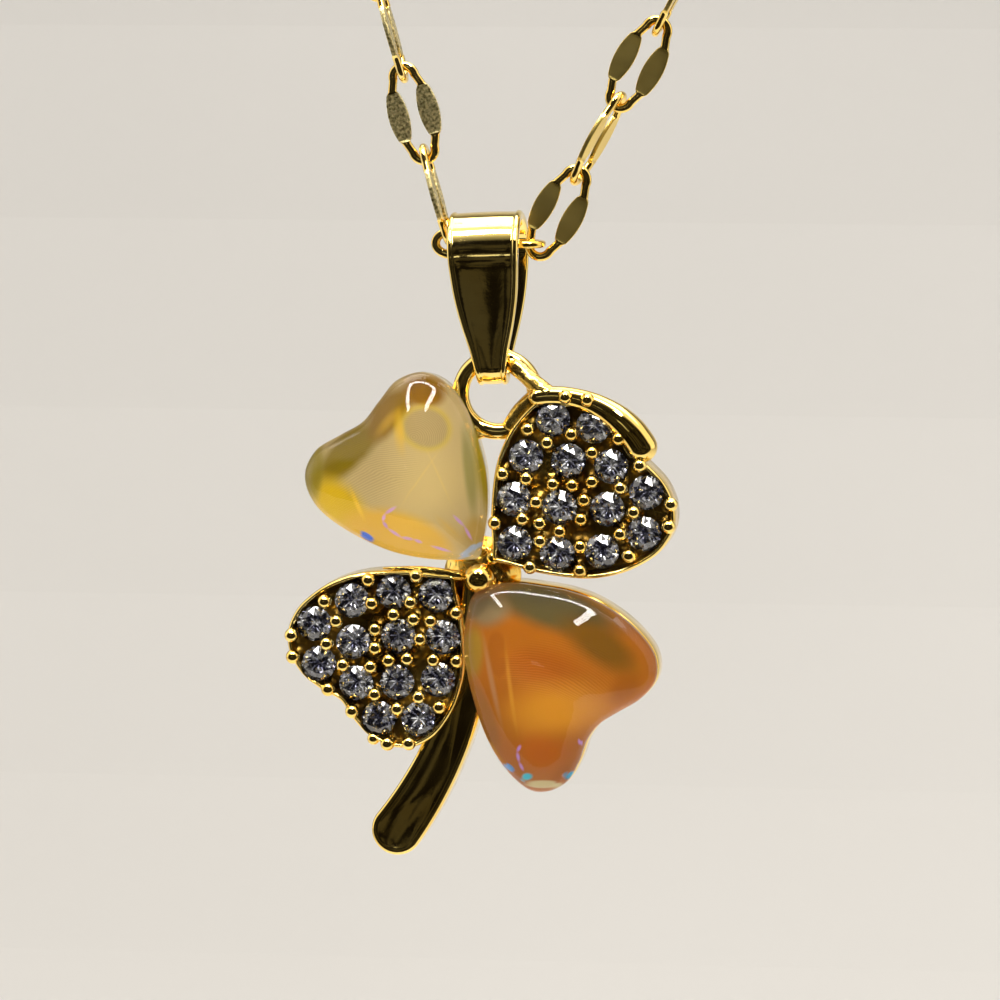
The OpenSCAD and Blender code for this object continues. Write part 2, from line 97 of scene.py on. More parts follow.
# Leaves: x and y of the tip as shares, direction, size
UPPER_HEART = (0.011, 0.105, 131, 1)
LOWER_HEART = (-0.005, -0.075, -48, 1.04)
UPPER_SET = (0.085, 0.1, 39, 1.03)
LOWER_SET = (-0.13, 0.012, -132, 1)
# Stones and beads of a set leaf: across and along, one on the middle line or two beside it
STONE_ROWS = [
    (0, 0.14), (0.37, 0.279), (0, 0.437), (0.645, 0.466),
    (0.33, 0.625), (0.78, 0.695), (0, 0.778), (0.45, 0.836),
]
BEAD_ROWS = [
    (0.3, 0.13), (0.15, 0.255), (0, 0.31), (0.66, 0.32), (0.2, 0.365), (0.46, 0.4),
    (0.24, 0.49), (0.86, 0.565), (0.62, 0.6), (0.1, 0.565), (0, 0.655), (0.53, 0.725),
    (0.24, 0.75), (0.88, 0.82), (0.71, 0.9), (0.18, 0.9),
]
# Beads outside the rows: place in the flat drawing, height, radius
EXTRA_BEADS = [(0.58, 0.8, 0.5, 0.27), (-4.08, -6.3, 0.62, 0.25), (-3.42, -6.42, 0.62, 0.25)]
# A leaf's rounded back edge: shift outwards, height above the back
BACK_EDGE = [(0, 0.14), (-0.04, 0.04), (-0.14, 0)]
# A heart stone's foot, dome and backing: share of the outline, height, which for the dome is a share too
HEART_FOOT = [(0.97, 0), (0.99, 0.02), (1.0, 0.08), (1.0, HEART_EDGE * 0.6)]
DOME_LEVELS = [
    (1, 0), (0.985, 0.1), (0.955, 0.2), (0.92, 0.29), (0.82, 0.436), (0.72, 0.565),
    (0.6, 0.698), (0.46, 0.823), (0.3, 0.925), (0.14, 0.984), (0, 1),
]
BACKING_LEVELS = [(0.965, 0.03), (0.965, 0.06), (0.952, 0.07), (0.1, 0.08)]
# The curled wire's thickness from its free end on, as shares
CURL_SHARES = (1.28, 1.28, 1.18, 1.02, 0.9, 0.82, 0.8, 0.8)
# Struts: points of the flat drawing with their heights, and the radii along them
SHOULDER_RADII = [0.26, 0.34, 0.32, 0.36, 0.4]
TOP_BAR = ([(-3.7, 0.34, 0.62), (-2.2, 0.3, 0.64), (-0.6, 0.08, 0.6)], [0.03, 0.15, 0.2])
RING_WEB = (
    [(2.62, 7.4, 0.3), (2.1, 6.95, 0.22), (1.55, 6.4, 0.18), (1.12, 5.75, 0.18)],
    [0.3, 0.34, 0.33, 0.3],
)
BEAD_STALKS = [
    ([(-3.95, -5.75, 0.4), (-4.08, -6.3, 0.55)], [0.16, 0.13]),
    ([(-3.5, -5.8, 0.4), (-3.42, -6.42, 0.55)], [0.16, 0.13]),
]
# The hub's disc and the post of its bead: radius, height
HUB_DISC = [
    (HUB_R - 0.75, -0.05), (HUB_R - 0.6, -0.1), (HUB_R - 0.4, -0.3), (HUB_R, -0.6),
    (HUB_R, 0.12 - LEAF_BACK), (HUB_R - 0.04, 0.03 - LEAF_BACK), (HUB_R - 0.14, -LEAF_BACK),
]
HUB_POST = [(HUB_BEAD_R * 0.96, SET_FRONT), (HUB_BEAD_R * 0.9, SET_FRONT - 0.2), (HUB_BEAD_R * 0.97, -0.1)]
# The bridge beside the ring: way along it, thickness as a share
BRIDGE = [
    (0, 0.7), (0.06, 0.95), (0.12, 1), (0.5, 0.95), (0.85, 0.72),
    (1.15, 0.72), (1.5, 0.95), (1.88, 1.1), (1.94, 1), (2.0, 0.7),
]
# The stem's edge from front to back: shift outwards, height
STEM_EDGE = [
    (-0.3, STEM_FRONT - 0.03), (-0.2, STEM_FRONT), (-0.13, STEM_FRONT - 0.01), (-0.06, STEM_FRONT - 0.05),
    (-0.02, STEM_FRONT - 0.11), (0, STEM_FRONT - 0.19), (0, 0.16 - STEM_BACK), (-0.03, 0.06 - STEM_BACK),
    (-0.1, 0.01 - STEM_BACK), (-0.18, -STEM_BACK),
]
# The bail's width from its foot to its top, as shares of its height and taper
BAIL_SIDE = [
    (0, 0), (0.08, 0.03), (0.2, 0.2), (0.36, 0.54), (0.52, 0.79), (0.7, 0.93), (0.88, 1), (1, 0.97),
]
# The raised frame along the strap: inset from its side, height over its face
BAIL_FRAME = [
    (0, -0.15), (0.015, -0.08), (0.05, -0.03), (0.1, -0.005), (0.16, 0),
    (0.19, -0.015), (0.22, -0.045), (PANEL_INSET, -PANEL_SINK),
]
# Half of the clasp's barrel from its end to its middle: way along, radius as a share
BARREL_HALF = [
    (BARREL_L / 2, 0.55), (2.97, 0.75), (2.85, 0.9), (2.6, 0.98), (2.2, 1),
    (2.1, 0.94), (2.0, 0.94), (1.9, 1), (0.12, 1), (0.06, 0.93),
]


# Curves and places
def sin(x):
    return math.sin(math.radians(x))


def cos(x):
    return math.cos(math.radians(x))


def tan(x):
    return math.tan(math.radians(x))


def circle(count):
    """Angles of points spread evenly round a circle."""
    return 2 * np.pi * np.arange(count) / count


def curve_point(a, b, c, d, t):
    """A smooth curve through four points, between the second and the third."""
    return 0.5 * (
        2 * b + (c - a) * t + (2 * a - 5 * b + 4 * c - d) * t * t + (3 * b - a - 3 * c + d) * t**3
    )


def closed_curve(points, steps):
    p, n = np.array(points, float), len(points)
    return np.array([
        curve_point(p[i - 1], p[i], p[(i + 1) % n], p[(i + 2) % n], s / steps)
        for i in range(n) for s in range(steps)
    ])


def open_curve(points, steps):
    p = np.array(points, float)
    p = np.vstack([2 * p[0] - p[1], p, 2 * p[-1] - p[-2]])
    out = [curve_point(*p[i:i + 4], s / steps) for i in range(len(p) - 3) for s in range(steps)]
    return np.array(out + [p[-2]])


def grown(outline, d):
    """An outline moved outwards by d."""
    way = np.roll(outline, -1, 0) - np.roll(outline, 1, 0)
    way /= np.linalg.norm(way, axis=1)[:, None]
    return outline + d * np.stack([way[:, 1], -way[:, 0]], 1)


def heart_table(leaf):
    return LOWER_OUTLINE if leaf is LOWER_HEART else HALF_HEART


def leaf_outline(table, size, steps, d=0.0):
    """A leaf's closed outline in its own drawing, tip at the bottom, moved outwards by d."""
    line = [(size * x * LEAF_W / 2, size * y * LEAF_LEN) for x, y in table]
    if table is not LOWER_OUTLINE:
        line += [(-x, y) for x, y in line[-2:0:-1]]
    return grown(closed_curve(line, steps), d)


def on_leaf(leaf, q):
    """Points of a leaf's own drawing, put in the clover's flat drawing."""
    x, y, way, _ = leaf
    a = way - 90
    q = np.asarray(q, float)
    return np.stack([
        LEAF_LEN * x + q[:, 0] * cos(a) - q[:, 1] * sin(a),
        LEAF_LEN * y + q[:, 0] * sin(a) + q[:, 1] * cos(a),
    ], 1)


def places(rows, size):
    """Places in a leaf's own drawing, mirrored where they lie off its middle line."""
    return np.array([
        (side * size * x * LEAF_W / 2, size * y * LEAF_LEN)
        for x, y in rows for side in ((1,) if x == 0 else (1, -1))
    ])


# The clover's middle, found from the first cut stone
first = (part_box("cut_stone_1")[0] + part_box("cut_stone_1")[1]) / 2 / MM
offset = on_leaf(UPPER_SET, places(STONE_ROWS[:1], UPPER_SET[3]))[0]
HUB = (first.x - offset[0], first.z - offset[1])
RING_AT = np.array([0.095, 0.97]) * LEAF_LEN
RING_MID = RING_IN + RING_WIRE / 2
CURL_AT = RING_AT + np.array([0.308, -0.54]) * LEAF_LEN
CURL_R, CURL_START, CURL_SWEEP, CURL_RAISE = LEAF_LEN * 0.54, 31, 73, 0.55
BRIDGE_AT = RING_AT - np.array([0.16, 0.2]) * LEAF_LEN


def upright(p):
    """Points of the clover's flat drawing, in the row frame in millimetres."""
    p = np.asarray(p, float)
    return np.stack([HUB[0] + p[:, 0], -p[:, 2], HUB[1] + p[:, 1]], 1)


def level(points, z):
    """Flat points raised to one height and stood upright."""
    return upright(np.column_stack([points, np.full(len(points), z)]))


# Meshes
class Skin:
    """Collects vertices in millimetres and faces."""

    def __init__(self):
        self.v, self.f, self.m, self.n = [], [], [], 0

    def add(self, verts, faces, mats):
        self.v.append(np.asarray(verts, float))
        self.f += [tuple(i + self.n for i in f) for f in faces]
        self.m += mats
        self.n += len(verts)

    def rings(self, rings, caps=True, mats=None):
        """Joins rings of equal count and caps them. mats holds one number for each step."""
        n, k = len(rings[0]), len(rings)
        steps = mats or [0] * (k - 1)
        faces = [
            (r * n + i, r * n + (i + 1) % n, (r + 1) * n + (i + 1) % n, (r + 1) * n + i)
            for r in range(k - 1) for i in range(n)
        ]
        slots = [steps[r] for r in range(k - 1) for i in range(n)]
        if caps:
            faces += [tuple(range(n - 1, -1, -1)), tuple((k - 1) * n + i for i in range(n))]
            slots += [steps[0], steps[-1]]
        self.add(np.vstack(rings), faces, slots)

    def torus(self, rings, mats=None):
        """Joins rings of equal count into a closed loop."""
        n, k = len(rings[0]), len(rings)
        steps = mats or [0] * k
        faces = [
            (r * n + i, r * n + (i + 1) % n, ((r + 1) % k) * n + (i + 1) % n, ((r + 1) % k) * n + i)
            for r in range(k) for i in range(n)
        ]
        self.add(np.vstack(rings), faces, [steps[r] for r in range(k) for i in range(n)])

    def ball(self, at, r, around=20, up=12):
        """A ball whose poles lie in front and behind."""
        a = circle(around)
        rows = [[[0, -r, 0]]]
        for b in math.pi * np.arange(1, up) / up:
            wide, y = r * math.sin(b), -r * math.cos(b)
            rows.append(np.stack([wide * np.cos(a), np.full(around, y), wide * np.sin(a)], 1))
        pts = np.vstack(rows + [[[0, r, 0]]])
        last = len(pts) - 1
        faces = [(0, 1 + i, 1 + (i + 1) % around) for i in range(around)]
        for s in range(1, 1 + (up - 2) * around, around):
            faces += [
                (s + i, s + around + i, s + around + (i + 1) % around, s + (i + 1) % around)
                for i in range(around)
            ]
        s = 1 + (up - 2) * around
        faces += [(s + i, last, s + (i + 1) % around) for i in range(around)]
        self.add(pts + np.asarray(at, float), faces, [0] * len(faces))

    def make(self, name, body, slot, mats, nodes, sharp=None):
        """Makes the object, which rides a body and replaces nodes. The slot is not used."""
        me = bpy.data.meshes.new(name)
        me.from_pydata((np.vstack(self.v) * MM).tolist(), [], self.f)
        me.validate()
        for m in mats:
            me.materials.append(m)
        if len(mats) > 1 and len(me.polygons) == len(self.m):
            me.polygons.foreach_set("material_index", self.m)
        bm = bmesh.new()
        bm.from_mesh(me)
        bmesh.ops.recalc_face_normals(bm, faces=bm.faces)
        bm.to_mesh(me)
        bm.free()
        me.polygons.foreach_set("use_smooth", [True] * len(me.polygons))
        if sharp:
            me.set_sharp_from_angle(angle=math.radians(sharp))
        ob = bpy.data.objects.new(name, me)
        bpy.context.scene.collection.objects.link(ob)
        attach(ob, body)
        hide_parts(*nodes)


def edge_distance(points, outline):
    """Distance of each point to a closed outline."""
    a, b = outline, np.roll(outline, -1, 0)
    ab = b - a
    out = np.empty(len(points))
    batch = 4000
    for s in range(0, len(points), batch):
        p = points[s:s + batch, None, :]
        t = np.clip(((p - a) * ab).sum(2) / (ab**2).sum(1), 0, 1)
        out[s:s + batch] = np.sqrt(((p - a - t[..., None] * ab) ** 2).sum(2)).min(1)
    return out


def smooth_step(x, lo, hi):
    t = np.clip((x - lo) / (hi - lo), 0, 1)
    return t * t * (3 - 2 * t)


def rounding(d, r):
    """How far a rounded edge of radius r falls at distance d from the edge."""
    return np.where(d < r, r - np.sqrt(np.maximum(r * r - (r - d) ** 2, 0)), 0)


# Materials
def new_material(name):
    m = bpy.data.materials.new(name)
    m.use_nodes = True
    nt = m.node_tree
    return m, nt, nt.nodes["Principled BSDF"]


def node(nt, kind, **values):
    """A new node, with its sockets and settings."""
    n = nt.nodes.new(kind)
    for k, v in values.items():
        if k in n.inputs:
            n.inputs[k].default_value = v
        else:
            setattr(n, k, v)
    return n


def object_coords(nt):
    return node(nt, "ShaderNodeTexCoord").outputs["Object"]


def noise(nt, coords, scale, detail, rough=0.5, distortion=0.0):
    n = node(nt, "ShaderNodeTexNoise", Scale=scale, Detail=detail, Roughness=rough, Distortion=distortion)
    nt.links.new(coords, n.inputs["Vector"])
    return n.outputs["Fac"]


def ramp(nt, source, low, high):
    """Two colours blended by a value. low and high hold a position and a colour."""
    r = node(nt, "ShaderNodeValToRGB")
    for el, (pos, col) in zip(r.color_ramp.elements, (low, high)):
        el.position = pos
        el.color = (*col, 1)
    nt.links.new(source, r.inputs["Fac"])
    return r.outputs["Color"]


def map_range(nt, value, a, b, c, d, kind="LINEAR"):
    mr = node(nt, "ShaderNodeMapRange", interpolation_type=kind)
    nt.links.new(value, mr.inputs["Value"])
    for key, x in (("From Min", a), ("From Max", b), ("To Min", c), ("To Max", d)):
        mr.inputs[key].default_value = x
    return mr.outputs["Result"]


def math_node(nt, op, *values):
    m = node(nt, "ShaderNodeMath", operation=op)
    for i, x in enumerate(values):
        if isinstance(x, (int, float)):
            m.inputs[i].default_value = x
        else:
            nt.links.new(x, m.inputs[i])
    return m.outputs[0]


def mix_colour(nt, factor, a, b, blend="MIX"):
    m = node(nt, "ShaderNodeMix", data_type="RGBA", blend_type=blend)
    for key, x in (("Factor", factor), ("A", a), ("B", b)):
        sock = [k for k in m.inputs if k.name == key and (k.type == "RGBA") == (key != "Factor")][0]
        if isinstance(x, float):
            sock.default_value = x
        elif isinstance(x, tuple):
            sock.default_value = (*x, 1)
        else:
            nt.links.new(x, sock)
    return [o for o in m.outputs if o.type == "RGBA"][0]


def bump(nt, height, strength, distance, under=None):
    b = node(nt, "ShaderNodeBump", Strength=strength, Distance=distance)
    nt.links.new(height, b.inputs["Height"])
    if under is not None:
        nt.links.new(under, b.inputs["Normal"])
    return b.outputs["Normal"]


def gold(name, bright, deep, rough, grain_strength, grain, lumps, lump_depth, patch=420.0):
    """Gold with broad changes of tone, uneven gloss, a fine grain and soft lumps."""
    m, nt, bsdf = new_material(name)
    tc = object_coords(nt)
    tone = ramp(nt, noise(nt, tc, scale=patch, detail=3), (0.3, deep), (0.62, bright))
    nt.links.new(tone, bsdf.inputs["Base Color"])
    bsdf.inputs["Metallic"].default_value = 1.0
    gloss = map_range(nt, noise(nt, tc, scale=900.0, detail=3), 0.3, 0.7, *rough)
    nt.links.new(gloss, bsdf.inputs["Roughness"])
    fine = bump(nt, noise(nt, tc, scale=grain, detail=4, rough=0.6), grain_strength, 0.00002)
    soft = noise(nt, tc, scale=lumps, detail=2, distortion=0.4)
    nt.links.new(bump(nt, soft, 0.8, lump_depth, fine), bsdf.inputs["Normal"])
    return m


BRIGHT, DEEP = (1.0, 0.76, 0.25), (0.9, 0.6, 0.13)
# Two colours, roughness from and to, strength and scale of the grain, scale and depth of the lumps.
# The stippled plates also have much smaller patches of colour, from near black to bright: painted glints
# and shade of their stippling.
GOLD_CAST = gold("gold_cast", BRIGHT, DEEP, (0.08, 0.22), 0.3, 2600, 900, 0.00006)
GOLD_POLISH = gold("gold_polish", BRIGHT, DEEP, (0.03, 0.1), 0.08, 2200, 260, 0.00003)
GOLD_ROUGH = gold("gold_rough", (0.95, 0.68, 0.18), (0.7, 0.42, 0.07), (0.1, 0.3), 0.4, 2600, 1500, 0.0002)
# Painted shade: the field between stones and beads is near-black gold, which stands in for the shade in its
# hollows.
GOLD_FIELD_PAINTED_SHADE = gold(
    "gold_field_painted_shade", (0.42, 0.26, 0.05), (0.12, 0.06, 0.01), (0.2, 0.45), 0.5, 3600, 1700, 0.00015)
GOLD_BAIL = gold(
    "gold_bail_polish", (1.0, 0.78, 0.28), (0.95, 0.68, 0.18), (0.03, 0.09), 0.1, 2400, 380, 0.00003)
GOLD_WIRE = gold("gold_wire", (1.0, 0.75, 0.25), (0.9, 0.6, 0.12), (0.05, 0.16), 0.15, 2600, 700, 0.00003)
GOLD_PLATE = gold(
    "gold_flat_plate", (0.9, 0.68, 0.2), (0.8, 0.56, 0.13), (0.26, 0.36), 0.2, 9000, 1500, 0.00001)
# Painted glints and shade: tiny near-black and bright patches stand in for light catching the stippling.
GOLD_STIPPLE_PAINTED_GLINTS = gold(
    "gold_stipple_painted_glints", (1.0, 0.84, 0.4), (0.15, 0.11, 0.03), (0.28, 0.42), 1.0, 22000, 16000, 0.000012, 9000)


def crystal():
    """Clear stone whose colour holds painted dark and white specks: painted reflections of the dark
    surroundings in its facets, and painted sparkles.
    """
    m, nt, bsdf = new_material("crystal_clear_painted_glints")
    # Painted reflection: near-black and white specks in the colour stand in for what the facets mirror.
    painted_glint_speckle = noise(nt, object_coords(nt), scale=3400.0, detail=2)
    tone = ramp(nt, painted_glint_speckle, (0.48, (0.03, 0.03, 0.05)), (0.61, (1, 1, 1)))
    nt.links.new(tone, bsdf.inputs["Base Color"])
    bsdf.inputs["Transmission Weight"].default_value = 0.92
    bsdf.inputs["IOR"].default_value = 2.1
    bsdf.inputs["Roughness"].default_value = 0.02
    return m


def dress_cut_stones():
    material = crystal()
    per_leaf = len(places(STONE_ROWS, 1))
    for i in range(1, 2 * per_leaf + 1):
        stone = NODES[f"cut_stone_{i}"]
        stone.data.materials.clear()
        stone.data.materials.append(material)


dress_cut_stones()


def on_clover(skin, name, *mats, sharp=None):
    """Finishes a gold piece of the clover's body."""
    skin.make(name, "clover", "gold_plate", mats, ["clover_frame"], sharp)


# Leaves
def leaf_body(skin, leaf, table, rows, heights, d=0.0):
    """A plate whose front follows heights(points, edge distance), with rounded edges behind."""
    size = leaf[3]
    outline = leaf_outline(table, size, 20, d)
    mid = np.array([0, PLATE_MID * LEAF_LEN * size])
    rings = []
    for t in rows:
        q = mid + t * (outline - mid)
        rings.append(np.column_stack([on_leaf(leaf, q), heights(q, edge_distance(q, outline))]))
    rings = [upright(r) for r in rings]
    rings += [level(on_leaf(leaf, grown(outline, out)), z - LEAF_BACK) for out, z in BACK_EDGE]
    # Rows inside the rim take the second material, whose dark colour is painted shade in the field.
    inner = sum(t < FIELD_SHARE for t in rows) if table is HALF_SET else 0
    skin.rings(rings, mats=[1] * inner + [0] * (len(rings) - 1 - inner))


def set_leaf(name, leaf):
    """A leaf with a raised rim, stalks under its beads and cone seats for its stones."""
    stones, beads = places(STONE_ROWS, leaf[3]), places(BEAD_ROWS, leaf[3])
    seat_r = STONE_D / 2 + STONE_FIT
    field = SET_FRONT - FIELD_DEPTH

    def heights(q, d):
        z = field + (FIELD_DEPTH + RIM_H) * (1 - smooth_step(d, RIM_W / 2, RIM_W + RIM_FALL))
        for x, y in beads:
            away = np.hypot(q[:, 0] - x, q[:, 1] - y)
            z = np.maximum(z, field + STALK_H * np.exp(-(away / STALK_R) ** 2))
        for x, y in stones:
            away = np.hypot(q[:, 0] - x, q[:, 1] - y)
            seat = SET_FRONT - SEAT_SINK - (seat_r - away) * SEAT_SLOPE
            z = np.where(away < seat_r, np.minimum(z, seat), z)
        return z - rounding(d, RIM_ROUND)

    skin = Skin()
    # Shares of the way from the middle to the edge, the last ones on the rim
    rows = np.concatenate([np.linspace(0.02, 0.88, 80), np.linspace(0.89, 1.0, 18)])
    leaf_body(skin, leaf, HALF_SET, rows, heights)
    on_clover(skin, name, GOLD_CAST, GOLD_FIELD_PAINTED_SHADE)


def tray(name, leaf, lip, lift=0):
    """The flat plate under a heart stone."""
    def heights(q, d):
        return TRAY_FRONT + lift - rounding(d, TRAY_ROUND)

    skin = Skin()
    rows = np.concatenate([[0.02, 0.5, 0.9, 0.96], np.linspace(0.97, 1.0, 8)])
    leaf_body(skin, leaf, heart_table(leaf), rows, heights, lip)
    on_clover(skin, name, GOLD_POLISH)


def set_beads():
    skin = Skin()
    for leaf in (UPPER_SET, LOWER_SET):
        for at in level(on_leaf(leaf, places(BEAD_ROWS, leaf[3])), SET_FRONT + BEAD_RAISE):
            skin.ball(at, BEAD_R + BEAD_GROWTH)
    for x, y, z, r in EXTRA_BEADS:
        skin.ball(upright([[x, y, z]])[0], r)
    on_clover(skin, "set_beads", GOLD_POLISH)


set_leaf("set_leaf_upper", UPPER_SET)
set_leaf("set_leaf_lower", LOWER_SET)
tray("heart_tray_upper", UPPER_HEART, -UPPER_TRAY_INSET)
tray("heart_tray_lower", LOWER_HEART, TRAY_LIP - LOWER_TRAY_INSET, LOWER_LIFT)
set_beads()


# Ring, curled wire, shoulder, hub and stem
def arc_tube(skin, at, r, wires, z, start, sweep, steps, around=24):
    """A bent round wire of the flat drawing, with its thicknesses spread along it."""
    closed = sweep == 360
    a = np.radians(start + sweep * np.arange(steps if closed else steps + 1) / steps)
    b = circle(around)
    along = np.linspace(0, 1, len(a))
    rings = []
    for t, w in zip(a, np.interp(along, np.linspace(0, 1, len(wires)), wires)):
        rr = r + w / 2 * np.cos(b)
        ring = np.stack([at[0] + rr * math.cos(t), at[1] + rr * math.sin(t), z + w / 2 * np.sin(b)], 1)
        rings.append(upright(ring))
    if closed:
        skin.torus(rings)
    else:
        skin.rings(rings, caps=False)


def hanging_ring():
    skin = Skin()
    arc_tube(skin, RING_AT, RING_MID, [RING_WIRE, RING_WIRE], 0, 0, 360, 96)
    on_clover(skin, "hanging_ring", GOLD_POLISH)


def curled_wire():
    skin = Skin()
    wires = [CURL_WIRE * s for s in CURL_SHARES]
    sweep = CURL_SWEEP - CURL_END
    arc_tube(skin, CURL_AT, CURL_R, wires, CURL_RAISE, CURL_START, sweep, 48, CURL_AROUND)
    for a, wire in ((CURL_START, wires[0]), (CURL_START + sweep, wires[-1])):
        x, y = CURL_AT + CURL_R * np.array([cos(a), sin(a)])
        # A hair smaller than the wire, so that the two surfaces don't flicker
        skin.ball(upright([[x, y, CURL_RAISE]])[0], wire / 2 * 0.998, 36, 24)
    on_clover(skin, "curled_wire", GOLD_POLISH)


def strut(skin, path, radii, around=24):
    """A round bar through points of the flat drawing, with its radii spread along it."""
    p = open_curve(path, 6)
    r = np.interp(np.linspace(0, 1, len(p)), np.linspace(0, 1, len(radii)), radii)
    way = np.gradient(p, axis=0)
    way /= np.linalg.norm(way, axis=1)[:, None]
    b = circle(around)
    rings = []
    for c, w, rr in zip(p, way, r):
        u = np.cross(w, [0, 0, 1.0])
        u /= np.linalg.norm(u)
        v = np.cross(w, u)
        rings.append(upright(c + rr * (np.cos(b)[:, None] * u + np.sin(b)[:, None] * v)))
    skin.rings(rings)


def shoulder():
    """The bar from the ring to the curled wire, the bar on the lower set leaf, the web and two stalks."""
    skin = Skin()
    start = (*(RING_AT + RING_MID * np.array([sin(SHOULDER_FROM), cos(SHOULDER_FROM)])), 0)
    end = (*(CURL_AT + CURL_R * np.array([cos(SHOULDER_TO), sin(SHOULDER_TO)])), CURL_RAISE)
    strut(skin, np.linspace(start, end, len(SHOULDER_RADII)), SHOULDER_RADII)
    for path, radii in (TOP_BAR, RING_WEB, *BEAD_STALKS):
        strut(skin, path, radii)
    on_clover(skin, "ring_shoulder", GOLD_ROUGH)


def hub_and_bridge():
    skin = Skin()
    a = circle(72)
    for profile in (HUB_DISC, HUB_POST):
        skin.rings([level(np.stack([r * np.cos(a), r * np.sin(a)], 1), z) for r, z in profile])
    b = circle(24)
    rings = []
    for x, s in BRIDGE:
        r = BRIDGE_R * s
        ring = np.stack([np.full(24, BRIDGE_AT[0] + x), BRIDGE_AT[1] + r * np.cos(b), r * np.sin(b)], 1)
        rings.append(upright(ring))
    skin.rings(rings)
    on_clover(skin, "hub_disc_and_bridge", GOLD_ROUGH, sharp=60)


def middle_bead():
    skin = Skin()
    skin.ball(upright([[MIDDLE_BEAD_X, 0, SET_FRONT]])[0], HUB_BEAD_R * MIDDLE_BEAD_SHARE, 48, 32)
    on_clover(skin, "middle_bead", GOLD_POLISH)


def stem_outline():
    half = STEM_LEN / 2
    r = (half**2 + STEM_BOW**2) / (2 * STEM_BOW)
    spread = math.degrees(math.asin(half / r))
    mid = np.array([half, STEM_BOW - r])

    def edge(t, side):
        w = STEM_ROOT_W + (STEM_END_W - STEM_ROOT_W) * t
        q = 90 + spread - 2 * spread * t
        return mid + (r + side * w / 2) * np.array([cos(q), sin(q)])

    along = np.linspace(0, 1, 90)
    lower = [edge(t, -1) for t in along]
    upper = [edge(t, 1) for t in along[::-1]]
    tip = np.array([STEM_LEN, 0])
    cap = [
        tip + STEM_END_W / 2 * np.array([cos(q), sin(q)])
        for q in np.linspace(-90 - spread, 90 - spread, 50)[1:-1]
    ]
    root = [edge(0, s) for s in np.linspace(1, -1, 12)[1:-1]]
    x, y = np.array(lower + cap + upper + root).T
    c, s = cos(STEM_TURN), sin(STEM_TURN)
    return np.stack([x * c - y * s, x * s + y * c], 1)


def stem():
    outline = stem_outline()
    skin = Skin()
    skin.rings([level(grown(outline, d), z) for d, z in STEM_EDGE])
    on_clover(skin, "stem", GOLD_POLISH)


hanging_ring()
curled_wire()
shoulder()
hub_and_bridge()
middle_bead()
stem()


# Heart stones
def heart_rings(leaf, levels):
    steps = 20 if leaf is UPPER_HEART else 12
    outline = leaf_outline(heart_table(leaf), leaf[3], steps)
    mid = np.array([0, DOME_TOP * LEAF_LEN * leaf[3]])
    return [level(on_leaf(leaf, mid + s * (outline - mid)), z) for s, z in levels]


def heart_stone(name, leaf, glass, foil, edge, slot, lift=0):
    """A domed glass heart with its coloured backing inside it."""
    base = TRAY_FRONT + STONE_FIT + lift
    dome = HEART_DOME - lift
    levels = [(s, base + z) for s, z in HEART_FOOT]
    levels += [(s, base + HEART_EDGE + h * dome) for s, h in open_curve(DOME_LEVELS, 5)[:-1]]
    skin = Skin()
    skin.rings(heart_rings(leaf, levels))
    skin.make("heart_glass_" + name, "clover", slot, [glass], ["heart_stone_" + name])
    skin = Skin()
    skin.rings(heart_rings(leaf, [(s, base + z) for s, z in BACKING_LEVELS]), mats=[1, 1, 0])
    skin.make("heart_foil_" + name, "clover", slot, [foil, edge], ["heart_stone_" + name])


def paint(r, g, b):
    """A colour as seen on a screen, 0 to 255, in linear light."""
    return tuple(((c / 255 + 0.055) / 1.055) ** 2.4 for c in (r, g, b))


def patch_length(nt, tc, x, y, rx, ry, turn):
    """Distance from a place of the flat drawing, as a share of a turned ellipse's half axes."""
    at = upright([[x, y, 0]])[0] * MM
    m = node(nt, "ShaderNodeMapping", vector_type="TEXTURE")
    m.inputs["Location"].default_value = (at[0], 0, at[2])
    m.inputs["Rotation"].default_value = (0, -math.radians(turn), 0)
    m.inputs["Scale"].default_value = (rx * MM, 10, ry * MM)
    nt.links.new(tc, m.inputs["Vector"])
    length = node(nt, "ShaderNodeVectorMath", operation="LENGTH")
    nt.links.new(m.outputs["Vector"], length.inputs[0])
    return length.outputs["Value"]


def fine_rings(nt, tc, rings):
    """Waves round centres: x, y, pitch and the patch that they fill."""
    height = None
    for x, y, pitch, reach in rings:
        around = patch_length(nt, tc, x, y, pitch / 2 / math.pi, pitch / 2 / math.pi, 0)
        inside = map_range(nt, patch_length(nt, tc, *reach), 0.7, 1, 1, 0)
        wave = math_node(nt, "MULTIPLY", math_node(nt, "SINE", around), inside)
        height = wave if height is None else math_node(nt, "ADD", height, wave)
    return height


